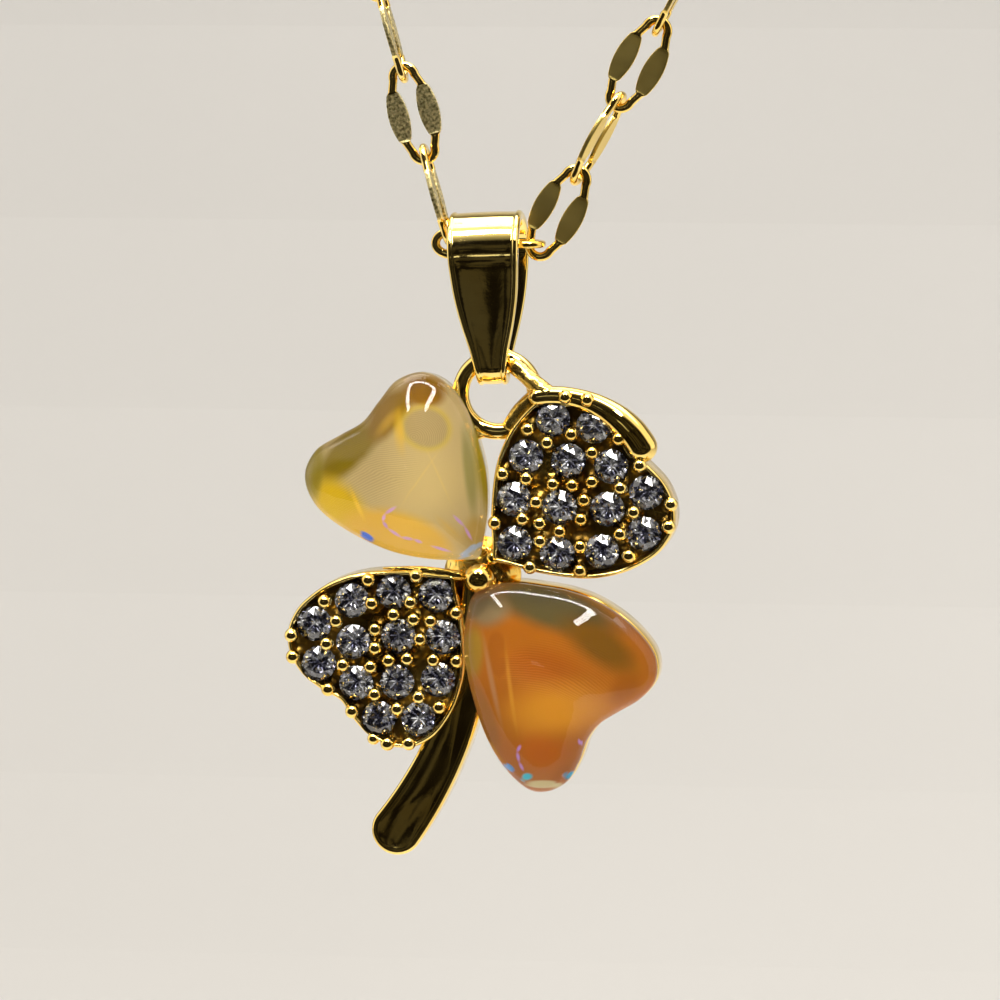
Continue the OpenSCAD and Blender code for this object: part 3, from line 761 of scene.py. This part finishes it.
def foil_material(name, base, patches, rings=(), shade=1.0):
    """Pearly backing: a base colour, soft patches over it and sets of very fine rings. Some patches are
    painted highlights, painted reflections and painted fire of the glass.
    """
    m, nt, bsdf = new_material(name)
    tc = object_coords(nt)
    colour = paint(*base)
    for x, y, rx, ry, turn, soft, most, col in patches:
        f = map_range(nt, patch_length(nt, tc, x, y, rx, ry, turn), 1 - soft, 1, most, 0, "SMOOTHSTEP")
        colour = mix_colour(nt, f, colour, paint(*col))
    if rings:
        height = fine_rings(nt, tc, rings)
        tone = map_range(nt, height, -1, 1, shade * 0.86, shade)
        grey = node(nt, "ShaderNodeCombineColor")
        for k in range(3):
            nt.links.new(tone, grey.inputs[k])
        colour = mix_colour(nt, 1.0, colour, grey.outputs["Color"], "MULTIPLY")
        nt.links.new(bump(nt, height, 0.2, 0.00001), bsdf.inputs["Normal"])
    nt.links.new(colour, bsdf.inputs["Base Color"])
    bsdf.inputs["Metallic"].default_value = 0.1
    bsdf.inputs["Roughness"].default_value = 0.35
    bsdf.inputs["Coat Weight"].default_value = 0.15
    bsdf.inputs["Coat Roughness"].default_value = 0.02
    return m


def glass_material(name, tint):
    m, nt, bsdf = new_material(name)
    clearer = tuple(min(1, c * 1.04) for c in tint)
    tone = ramp(nt, noise(nt, object_coords(nt), scale=300.0, detail=1), (0.3, tint), (0.7, clearer))
    nt.links.new(tone, bsdf.inputs["Base Color"])
    bsdf.inputs["Roughness"].default_value = 0.0
    bsdf.inputs["IOR"].default_value = 1.38
    bsdf.inputs["Transmission Weight"].default_value = 1.0
    return m


def painted_reflection_strokes(points):
    """Thin violet lines from point to point, as patches: painted reflections of the lights in the backing.
    """
    out = []
    for (ax, ay), (bx, by) in zip(points, points[1:]):
        turn = math.degrees(math.atan2(by - ay, bx - ax))
        half = math.hypot(bx - ax, by - ay) * 0.66
        out.append(((ax + bx) / 2, (ay + by) / 2, half, 0.09, turn, 0.8, 0.9, (222, 168, 255)))
    return out


# Patches: x, y, half length, half width, turn, softness, most, colour. Most are the backing's own colours;
# the near-white lines are painted highlights, the blue and cyan spots painted fire of the glass and the
# violet strokes painted reflections.
PALE_PATCHES = [
    (-2.0, 3.6, 2.2, 1.9, 20, 0.9, 0.9, (226, 198, 142)),
    (-4.8, 4.7, 2.1, 0.8, 40, 0.5, 1.0, (148, 122, 0)),
    (-3.3, 6.1, 1.6, 0.75, 58, 0.5, 1.0, (150, 112, 0)),
    (-2.1, 7.0, 0.75, 0.9, 90, 0.5, 1.0, (160, 110, 4)),
    (-5.1, 2.7, 1.8, 1.1, -42, 0.5, 1.0, (232, 190, 0)),
    (-3.0, 1.85, 2.6, 1.1, -15, 0.4, 1.0, (240, 188, 58)),
    (-3.25, 5.85, 0.3, 1.0, -40, 0.9, 0.8, (206, 160, 30)),
    (-0.55, 4.1, 0.35, 2.4, 6, 0.7, 0.8, (156, 148, 84)),
    (0.0, 4.6, 0.55, 3.0, 6, 0.6, 1.0, (170, 148, 0)),
    (-0.35, 1.85, 0.6, 0.8, 0, 0.7, 0.6, (198, 152, 20)),
    (-2.08, 5.67, 1.0, 1.0, 0, 0.3, 0.8, (222, 190, 70)),
    (-2.08, 5.67, 0.84, 0.84, 0, 0.3, 0.9, (188, 164, 124)),
    (-2.9, 5.5, 0.2, 1.1, 4, 0.9, 0.7, (246, 200, 70)),
    (-2.3, 3.9, 0.06, 1.7, -32, 0.9, 0.35, (244, 212, 130)),
    (-1.7, 3.9, 0.06, 1.7, 24, 0.9, 0.35, (244, 212, 130)),
    (-4.5, 3.0, 0.14, 0.8, 24, 0.9, 0.9, (255, 212, 60)),
    (-6.2, 4.0, 0.5, 1.4, -6, 0.6, 0.9, (158, 138, 20)),
    # Painted fire: blue spots where the glass splits the light into colours.
    (-4.2, 1.82, 0.36, 0.13, -32, 0.5, 1.0, (70, 120, 255)),
    (-0.4, 1.25, 0.55, 0.13, 27, 0.6, 0.9, (186, 204, 248)),
]
# Painted reflections: violet lines where the lights mirror in the backing.
PALE_PATCHES += painted_reflection_strokes([
    (-3.07, 2.95), (-3.48, 2.7), (-3.56, 2.44), (-3.38, 2.17), (-2.91, 1.84), (-2.44, 1.76), (-2.12, 1.63)])
PALE_PATCHES += painted_reflection_strokes([(-1.8, 1.5), (-1.07, 1.25)])
PALE_PATCHES += painted_reflection_strokes([(-1.18, 2.49), (-0.75, 2.06), (-0.44, 1.52)])
PALE_EDGE_PATCHES = [
    # Painted highlight: a near-white line along the tip's edge.
    (-2.6, 0.9, 2.4, 0.7, -16, 0.5, 0.9, (240, 236, 226)),
    (-3.4, 7.6, 4.4, 2.6, 35, 0.4, 1.0, (150, 144, 20)),
    (0.4, 4.8, 1.0, 3.6, 8, 0.4, 1.0, (168, 160, 50)),
    # Painted fire: blue spots where the glass splits the light into colours.
    (-4.6, 1.3, 0.5, 0.35, -30, 0.5, 1.0, (60, 110, 240)),
    (-0.5, 1.1, 0.6, 0.4, 20, 0.5, 1.0, (120, 180, 250)),
]
AMBER_PATCHES = [
    (3.1, -4.9, 2.7, 1.4, 10, 0.8, 0.95, (236, 158, 36)),
    (2.6, -3.3, 1.9, 0.8, -8, 0.8, 0.95, (200, 106, 4)),
    (2.9, -1.25, 3.4, 1.1, -16, 0.6, 1.0, (112, 98, 54)),
    (0.5, -1.3, 1.1, 0.8, -10, 0.7, 0.9, (156, 142, 104)),
    (4.7, -2.6, 2.3, 0.95, -32, 0.7, 1.0, (142, 94, 16)),
    (5.6, -4.0, 0.9, 0.65, 30, 0.7, 0.7, (176, 98, 10)),
    (2.5, -6.5, 1.2, 1.0, 0, 0.8, 0.9, (210, 110, 16)),
    (1.0, -2.9, 0.4, 0.95, 8, 0.25, 0.5, (180, 100, 10)),
    (0.45, -5.2, 0.5, 1.8, 20, 0.5, 0.8, (182, 116, 30)),
    (0.05, -2.8, 0.55, 1.3, 0, 0.6, 0.9, (190, 152, 50)),
    (0.8, -3.9, 0.17, 2.4, 12, 0.9, 0.6, (206, 160, 112)),
    (1.5, -4.2, 0.13, 2.2, 8, 0.9, 0.6, (236, 168, 50)),
    # Painted highlight: a near-white line along the tip's edge.
    (2.6, -7.75, 0.75, 0.16, 0, 0.5, 0.9, (240, 228, 170)),
    # Painted fire: blue and cyan spots where the glass splits the light into colours.
    (1.4, -7.15, 0.28, 0.1, -40, 0.5, 1.0, (120, 180, 250)),
    (2.02, -7.5, 0.24, 0.18, 20, 0.6, 1.0, (80, 230, 255)),
    (3.4, -7.42, 0.26, 0.18, 20, 0.6, 1.0, (50, 200, 255)),
]
# Painted reflections: violet lines where the lights mirror in the backing.
AMBER_PATCHES += painted_reflection_strokes([(1.84, -6.26), (1.7, -6.54), (1.76, -6.94), (1.9, -7.28)])
AMBER_PATCHES += painted_reflection_strokes([(3.72, -6.04), (3.76, -6.32)])
AMBER_EDGE_PATCHES = [
    (2.6, -0.6, 4.6, 1.6, -20, 0.3, 1.0, (112, 118, 74)),
    (-0.3, -3.2, 0.6, 1.6, 0, 0.5, 1.0, (206, 178, 52)),
    # Painted highlight: a near-white band along the tip's edge.
    (2.6, -7.6, 1.4, 0.4, 0, 0.5, 1.0, (250, 236, 190)),
]
PALE_RINGS = [
    (-1.4, -3.3, 0.075, (-4.4, 3.9, 2.4, 1.3, 20)),
    (-2.5, 5.3, 0.07, (-2.08, 5.67, 0.9, 0.9, 0)),
]
AMBER_RINGS = [(1.5, -9.0, 0.085, (3.2, -3.4, 2.4, 1.2, 0))]

heart_stone(
    "upper", UPPER_HEART, glass_material("glass_pale", (0.98, 0.95, 0.76)),
    foil_material("foil_pale", (214, 188, 140), PALE_PATCHES, PALE_RINGS, 0.92),
    foil_material("foil_edge_pale", (214, 200, 104), PALE_EDGE_PATCHES), "pale_glass")
heart_stone(
    "lower", LOWER_HEART, glass_material("glass_amber", (0.98, 0.95, 0.9)),
    foil_material("foil_amber", (204, 118, 20), AMBER_PATCHES, AMBER_RINGS, 0.86),
    foil_material("foil_edge_amber", (236, 146, 26), AMBER_EDGE_PATCHES), "orange_glass", LOWER_LIFT)

# Bail
END_MID = LINK_WIRE + LINK_ROOM
TOP_IN = LINK_W / 2 + BAIL_ROOM
FOOT_IN = RING_WIRE / 2 + FOOT_ROOM
BAIL_DROP = BAIL_H - TOP_IN - FOOT_IN - 2 * BAIL_STRAP
bail_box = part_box("bail")
BAIL_AT = ((bail_box[0].x + bail_box[1].x) / 2 / MM, bail_box[1].z / MM - TOP_IN - BAIL_STRAP)


def bail_half_width(z):
    """Half of the strap's width at a height above the turn's middle."""
    share = (z + BAIL_H - TOP_IN - BAIL_STRAP) / BAIL_H
    table = open_curve(BAIL_SIDE, 8)
    return (BAIL_FOOT_W + np.interp(share, table[:, 0], table[:, 1]) * (BAIL_W - BAIL_FOOT_W)) / 2


def bail_path():
    """The strap's inner line as y, z and the way outwards."""
    slope = math.degrees(math.asin((TOP_IN - FOOT_IN) / BAIL_DROP))

    def bow(r, z, angles):
        return [(r * cos(q), z + r * sin(q), cos(q), sin(q)) for q in angles]

    top = bow(TOP_IN, 0, np.linspace(-slope, 180 + slope, 60))
    foot = bow(FOOT_IN, -BAIL_DROP, np.linspace(180 + slope, 360 - slope, 36))
    down = list(np.linspace(top[-1], foot[0], 29)[1:-1])
    rise = list(np.linspace(foot[-1], top[0], 29)[1:-1])
    return top + down + foot + rise


def bail():
    t = BAIL_STRAP
    rings = []
    for y, z, ny, nz in bail_path():
        w = BAIL_SHARE * float(bail_half_width(z + nz * t / 2))
        side = [(-w, 0.08)] + [(inset - w, t + rise) for inset, rise in BAIL_FRAME]
        panel = [
            (x * (w - PANEL_INSET), t - PANEL_SINK + PANEL_CROWN * (1 - x * x))
            for x in (-0.75, -0.4, 0, 0.4, 0.75)
        ]
        inner = [(w - 0.03, 0.03), (w - 0.1, 0), (0, 0), (0.1 - w, 0), (0.03 - w, 0.03)]
        ring = []
        for x, s in side + panel + [(-x, s) for x, s in side[::-1]] + inner:
            up = z + nz * s + BAIL_DROP
            ring.append((
                BAIL_AT[0] + x * cos(BAIL_LEAN) - up * sin(BAIL_LEAN), y + ny * s,
                BAIL_AT[1] - BAIL_DROP + x * sin(BAIL_LEAN) + up * cos(BAIL_LEAN),
            ))
        rings.append(np.array(ring))
    skin = Skin()
    skin.torus(rings)
    skin.make("bail_strap", "bail", "gold_bail", [GOLD_BAIL], ["bail"], sharp=50)


bail()

# Chain
PITCH = LINK_L - 2 * LINK_WIRE - LINK_GAP
WIRE_L = LINK_L - LINK_WIRE
HOOK = LINK_WIRE + LINK_GAP
CLASP_REACH = BARREL_L + 4 * EYE_IN + 2 * EYE_RIM - LINK_WIRE - 2 * LINK_GAP
HALF_ANGLE = (LEAN_LEFT + LEAN_RIGHT) / 2
TILT = (LEAN_RIGHT - LEAN_LEFT) / 2
APEX_DEPTH = (UPRIGHT_REACH + WIRE_L / 2) / (tan(LEAN_LEFT) + tan(LEAN_RIGHT))
SKIP_LEFT = APEX_DEPTH / cos(LEAN_LEFT) + END_MID
SKIP_RIGHT = APEX_DEPTH / cos(LEAN_RIGHT)
LINKS = 2 * round(((CHAIN_LEN - CLASP_REACH - UPRIGHT_REACH - WIRE_L / 2) / PITCH - 1) / 2) + 1
PATH_LEN = LINKS * PITCH + CLASP_REACH
LOOP_R = (PATH_LEN + SKIP_LEFT + SKIP_RIGHT) / (2 / tan(HALF_ANGLE) + math.radians(180 + 2 * HALF_ANGLE))
LOOP_AT = np.array([0, -LOOP_R])
APEX = LOOP_AT - LOOP_R / sin(HALF_ANGLE) * np.array([sin(TILT), cos(TILT)])
UP_LEFT = np.array([-sin(LEAN_LEFT), cos(LEAN_LEFT)])
UP_RIGHT = np.array([sin(LEAN_RIGHT), cos(LEAN_RIGHT)])
LEFT_FOOT = APEX + SKIP_LEFT * UP_LEFT
RIGHT_FOOT = APEX + SKIP_RIGHT * UP_RIGHT
STRAIGHT_LEFT = LOOP_R / tan(HALF_ANGLE) - SKIP_LEFT
ARC_LEN = LOOP_R * math.radians(180 + 2 * HALF_ANGLE)
TOP_S = STRAIGHT_LEFT + LOOP_R * math.radians(90 + LEAN_LEFT)
LINKS_LEFT = 2 * round(((TOP_S - CLASP_REACH / 2) / PITCH - 1) / 2) + 1
LINKS_RIGHT = LINKS - LINKS_LEFT
LINK_AT = RIGHT_FOOT - np.array([WIRE_L / 2, 0])
LENS_L = LENS_SHARE * PLATE_L
LENS_R = ((LENS_L / 2) ** 2 + (PLATE_W / 2) ** 2) / PLATE_W


def path_point(s):
    """Place on the loop, s along it from the bail's left side."""
    if s < STRAIGHT_LEFT:
        return LEFT_FOOT + s * UP_LEFT
    if s > STRAIGHT_LEFT + ARC_LEN:
        return RIGHT_FOOT + (PATH_LEN - s) * UP_RIGHT
    q = 180 + LEAN_LEFT - math.degrees((s - STRAIGHT_LEFT) / LOOP_R)
    return LOOP_AT + LOOP_R * np.array([cos(q), sin(q)])


def between(points, a, b, roll):
    """Points that lie along x, rolled about it and put between two places of the loop."""
    x, across, high = np.asarray(points).T
    y, z = across * cos(roll) - high * sin(roll), across * sin(roll) + high * cos(roll)
    mid = (a + b) / 2
    c, s = (b - a) / np.linalg.norm(b - a)
    return np.stack([mid[0] + x * c - z * s, y, mid[1] + x * s + z * c], 1)


def section(w, t, power, count):
    """A rounded rectangle: a round for power 2, squarer above."""
    a = circle(count) + math.pi / count
    c, s = np.cos(a), np.sin(a)
    return np.stack([
        w / 2 * np.sign(c) * np.abs(c) ** (2 / power),
        t / 2 * np.sign(s) * np.abs(s) ** (2 / power),
    ], 1)


def link_path(ends, sides):
    """Middle line of one link: x, y, the way outwards, and the way along for its straight sides."""
    tip, end = WIRE_L / 2 - NARROW, PLATE_L / 2
    # The bare wire, close steps over the plate's end, and the plate
    wire = np.linspace(tip, end + 0.12, 4)[:-1]
    step = np.linspace(end + 0.1, end - 0.14, 6)
    plate = np.linspace(end - 0.2, 0.2 - end, sides)
    xs = np.concatenate([wire, step, plate, -step[::-1], -wire[::-1]])

    def bow(x, angles):
        return [(x + NARROW * cos(q), NARROW * sin(q), cos(q), sin(q), None) for q in angles[1:-1]]

    path = bow(tip, np.linspace(-90, 90, ends)) + [(x, 1, 0, 1, x) for x in xs]
    return path + bow(-tip, np.linspace(90, 270, ends)) + [(x, -1, 0, -1, x) for x in -xs]


def link_rings(ends, sides, count):
    """Sections along one link, and 1 for those on its lens shaped flat plates."""
    tip, end, off = WIRE_L / 2 - NARROW, PLATE_L / 2, (LINK_W - PLATE_W) / 2
    rings, flat = [], []
    for x, y, nx, ny, along in link_path(ends, sides):
        w, t, power, k = LINK_WIRE * THIN, LINK_T * THIN, 2.2, 0.0
        if along is not None:
            past = abs(along) - end
            y *= off + (NARROW - off) * min(1.0, max(0.0, past / (tip - end)))
            k = float(smooth_step(-past, -0.04, 0.08))
            lens = 2 * (math.sqrt(LENS_R**2 - min(abs(along), end) ** 2) - (LENS_R - PLATE_W / 2))
            w += (max(lens, w) - w) * k
            t *= 1 - PLATE_THIN * k
            power += 7 * k
        rings.append(np.array([(x + nx * u, y + ny * u, v) for u, v in section(w, t, power, count)]))
        flat.append(int(k > 0.5))
    return rings, flat


def bail_link():
    """The link in the bail, turned by a quarter along its length and without plates."""
    bend = WIRE_L / 2 - END_MID

    def turn(x):
        return 90 * min(1, max(0, (BAIL_LINK_TWIST - x) / (2 * BAIL_LINK_TWIST)))

    def slim(x):
        return END_MID + (NARROW - END_MID) * min(1, max(0, -x / UPRIGHT_REACH))

    def bow(x, r, angles):
        return [(x + END_MID * cos(q), r * sin(q), cos(q), sin(q)) for q in angles[1:-1]]

    xs = np.linspace(bend, -UPRIGHT_REACH, 40)
    path = bow(bend, END_MID, np.linspace(-90, 90, 18)) + [(x, slim(x), 0, 1) for x in xs]
    path += bow(-UPRIGHT_REACH, NARROW, np.linspace(90, 270, 18)) + [(x, -slim(x), 0, -1) for x in xs[::-1]]
    rings = []
    for x, y, nx, ny in path:
        c, s = cos(turn(x)), sin(turn(x))
        ring = []
        for u, v in section(LINK_WIRE * THIN, LINK_T * THIN, 2.4, 20):
            out = y + ny * u
            ring.append((LINK_AT[0] + x + nx * u, out * c - v * s, LINK_AT[1] + out * s + v * c))
        rings.append(np.array(ring))
    skin = Skin()
    skin.torus(rings)
    skin.make("bail_link", "necklace", "gold_chain", [GOLD_WIRE], ["chain"])


def chain():
    """Both strands, with more detail on the links that the photograph shows."""
    near, far = link_rings(18, 20, 20), link_rings(8, 6, 10)
    left, right, rest = Skin(), Skin(), Skin()
    for i in range(1, LINKS_LEFT + 1):
        a, b = path_point((i - 1) * PITCH - HOOK), path_point(i * PITCH)
        skin, (rings, flat) = (left, near) if i <= NEAR_LINKS else (rest, far)
        skin.torus([between(r, a, b, 0 if i % 2 else 90) for r in rings], flat)
    for i in range(1, LINKS_RIGHT + 1):
        a, b = path_point(PATH_LEN - i * PITCH), path_point(PATH_LEN - (i - 1) * PITCH + HOOK)
        skin, (rings, flat) = (right, near) if i <= NEAR_LINKS else (rest, far)
        roll = 90 if i % 2 else (LINK_TURN if i == 2 else 0)
        skin.torus([between(r, a, b, roll) for r in rings], flat)
    left.make("chain_left_links", "necklace", "gold_chain", [GOLD_WIRE, GOLD_STIPPLE_PAINTED_GLINTS], ["chain"])
    right.make("chain_right_links", "necklace", "gold_chain", [GOLD_WIRE, GOLD_PLATE], ["chain"])
    rest.make("chain_far_links", "necklace", "gold_chain", [GOLD_WIRE, GOLD_PLATE], ["chain"])


def clasp():
    """A barrel with a ring of metal at each end."""
    a, b = path_point(LINKS_LEFT * PITCH), path_point(LINKS_LEFT * PITCH + CLASP_REACH)
    eye_at, eye_mid = BARREL_L / 2 + EYE_IN + EYE_RIM, EYE_IN + EYE_RIM / 2
    skin = Skin()
    q = circle(40)
    rings = []
    for x, share in [(-x, s) for x, s in BARREL_HALF] + BARREL_HALF[::-1]:
        r = BARREL_D / 2 * share
        rings.append(between(np.stack([np.full(40, x), r * np.cos(q), r * np.sin(q)], 1), a, b, 0))
    skin.rings(rings)
    eye = section(EYE_RIM * THIN, EYE_T * THIN, 3, 16)
    for side in (-1, 1):
        rings = []
        for c, s in zip(np.cos(q), np.sin(q)):
            ring = [(side * eye_at + (eye_mid + u) * c, v, (eye_mid + u) * s) for u, v in eye]
            rings.append(between(ring, a, b, 0))
        skin.torus(rings)
    skin.make("clasp_barrel", "necklace", "gold_chain", [GOLD_WIRE], ["clasp"], sharp=40)


chain()
bail_link()
clasp()

# Stage, lights and camera, in metres
PHOTO, PIXELS_PER_MM, RING_PIXEL = 1000, 26.0, (498, 394)
SENSOR, CAMERA_AZ, CAMERA_EL, CAMERA_DIST = 36, 8.0, 6.0, 0.24
FLOOR_Z, FLOOR_FRONT, WALL_Y, COVE_R, WALL_TOP, HALF_FLOOR = -0.62, -0.3, 1.1, 0.6, 2.2, 3.2
LIGHT_DIST, WARM = 0.3, (1, 0.98, 0.95)
# A hoop of narrow soft boxes overhead, open towards the camera: turns and heights, then widths
HOOP = [
    (-27, 45), (-38, 50), (-45, 58), (-36, 66), (-12, 71),
    (12, 71), (31, 66), (40, 58), (33, 50), (19, 44),
]
HOOP_W = [0.022, 0.026, 0.04, 0.055, 0.06, 0.055, 0.045, 0.03, 0.026]
HOOP_POWER, HOOP_LAP = 105, 0.008


def toward(az, el):
    """The way to something seen from the object, turned by az from the front and raised by el."""
    return Vector((sin(az) * cos(el), -cos(az) * cos(el), sin(el)))


def camera():
    """Puts the ring where the photograph has it, and returns the middle of the picture."""
    back = toward(CAMERA_AZ, CAMERA_EL)
    right = Vector((cos(CAMERA_AZ), sin(CAMERA_AZ), 0))
    up = back.cross(right)
    pixel = MM / PIXELS_PER_MM
    ring = Vector(upright([[RING_AT[0], RING_AT[1], 0]])[0]) * MM
    centre = ring - right * (RING_PIXEL[0] - PHOTO / 2) * pixel - up * (PHOTO / 2 - RING_PIXEL[1]) * pixel
    cam = bpy.data.cameras.new("camera")
    cam.sensor_width = SENSOR
    cam.lens = SENSOR * CAMERA_DIST / (PHOTO * pixel)
    cam.clip_start = 0.005
    cam.clip_end = 20
    ob = bpy.data.objects.new("camera", cam)
    bpy.context.scene.collection.objects.link(ob)
    ob.location = centre + back * CAMERA_DIST
    ob.rotation_euler = (-back).to_track_quat("-Z", "Y").to_euler()
    bpy.context.scene.camera = ob
    return centre


def stage():
    """A pale floor that rises behind into a wall."""
    side = [(FLOOR_FRONT, FLOOR_Z), (WALL_Y, FLOOR_Z)]
    side += [(WALL_Y + COVE_R * sin(q), FLOOR_Z + COVE_R * (1 - cos(q))) for q in range(6, 91, 6)]
    side += [(WALL_Y + COVE_R, WALL_TOP)]
    v = [(x, y, z) for y, z in side for x in (-HALF_FLOOR, HALF_FLOOR)]
    f = [(2 * i, 2 * i + 1, 2 * i + 3, 2 * i + 2) for i in range(len(side) - 1)]
    me = bpy.data.meshes.new("stage_floor")
    me.from_pydata(v, [], f)
    ob = bpy.data.objects.new("stage_floor", me)
    bpy.context.scene.collection.objects.link(ob)
    m, nt, bsdf = new_material("pale_floor")
    clouds = noise(nt, object_coords(nt), scale=3.0, detail=2)
    tone = ramp(nt, clouds, (0.3, (0.74, 0.72, 0.69)), (0.7, (0.78, 0.76, 0.73)))
    nt.links.new(tone, bsdf.inputs["Base Color"])
    bsdf.inputs["Roughness"].default_value = 0.85
    me.materials.append(m)


def soft_box(name, width, height, power, color=(1, 1, 1)):
    light = bpy.data.lights.new(name, "AREA")
    light.energy = power
    light.color = color
    light.shape = "RECTANGLE"
    light.size = width
    light.size_y = height
    ob = bpy.data.objects.new(name, light)
    bpy.context.scene.collection.objects.link(ob)
    return ob


def aim(ob, target, az, el, dist):
    """Puts a light at a distance from its target and faces it."""
    ob.location = target + toward(az, el) * dist
    ob.rotation_euler = (-toward(az, el)).to_track_quat("-Z", "Y").to_euler()


def lights(centre):
    for k, width in enumerate(HOOP_W):
        p, q = toward(*HOOP[k]) * LIGHT_DIST, toward(*HOOP[k + 1]) * LIGHT_DIST
        length = (q - p).length
        strip = soft_box(f"hoop_{k}", length + HOOP_LAP, width, HOOP_POWER * length * width, WARM)
        out, along = ((p + q) / 2).normalized(), (q - p).normalized()
        strip.location = centre + (p + q) / 2
        strip.rotation_euler = Matrix((along, out.cross(along), out)).transposed().to_euler()
        strip.visible_camera = False
    aim(soft_box("backdrop", 1.2, 1.2, 13), Vector((0, 1.2, -0.3)), 0, 55, 1.3)
    low = soft_box("low_bar", 0.03, 0.017, 0.0018)
    aim(low, centre, -8, 7, LIGHT_DIST)
    low.visible_camera = False
    # A broad soft light that the polished metal doesn't mirror
    soft = soft_box("soft_front", 0.5, 0.5, 1.35, WARM)
    aim(soft, centre, 4, 36, 0.5)
    soft.visible_camera = soft.visible_glossy = False


def surroundings():
    """Dim and blotchy in front, pale at the sides and above. Seen directly, it is one plain pale tone."""
    world = bpy.data.worlds.new("world")
    bpy.context.scene.world = world
    world.use_nodes = True
    nt = world.node_tree
    bg = nt.nodes["Background"]
    tc = node(nt, "ShaderNodeTexCoord").outputs["Generated"]
    sep = node(nt, "ShaderNodeSeparateXYZ")
    nt.links.new(tc, sep.inputs[0])
    behind = math_node(nt, "MULTIPLY_ADD", sep.outputs["Y"], 0.5, 0.5)
    behind = math_node(nt, "MULTIPLY_ADD", sep.outputs["Z"], 0.15, behind)
    clouds = noise(nt, tc, scale=7.0, detail=3, rough=0.6, distortion=0.6)
    colour = ramp(nt, clouds, (0.47, (0.005, 0.004, 0.003)), (0.57, (0.04, 0.036, 0.026)))
    black, white = (0, 0, 0), (1, 1, 1)
    high = ramp(nt, sep.outputs["Z"], (0.68, black), (0.9, white))
    colour = mix_colour(nt, high, colour, (0.55, 0.53, 0.46))
    sides = ramp(nt, behind, (0.34, black), (0.44, white))
    colour = mix_colour(nt, sides, colour, (1.0, 0.94, 0.84))
    seen = node(nt, "ShaderNodeLightPath").outputs["Is Camera Ray"]
    nt.links.new(mix_colour(nt, seen, colour, (0.62, 0.59, 0.54)), bg.inputs["Color"])
    bg.inputs["Strength"].default_value = 1.3


middle = camera()
stage()
lights(middle)
surroundings()
bpy.context.scene.view_settings.view_transform = "Standard"
bpy.context.scene.view_settings.look = "None"
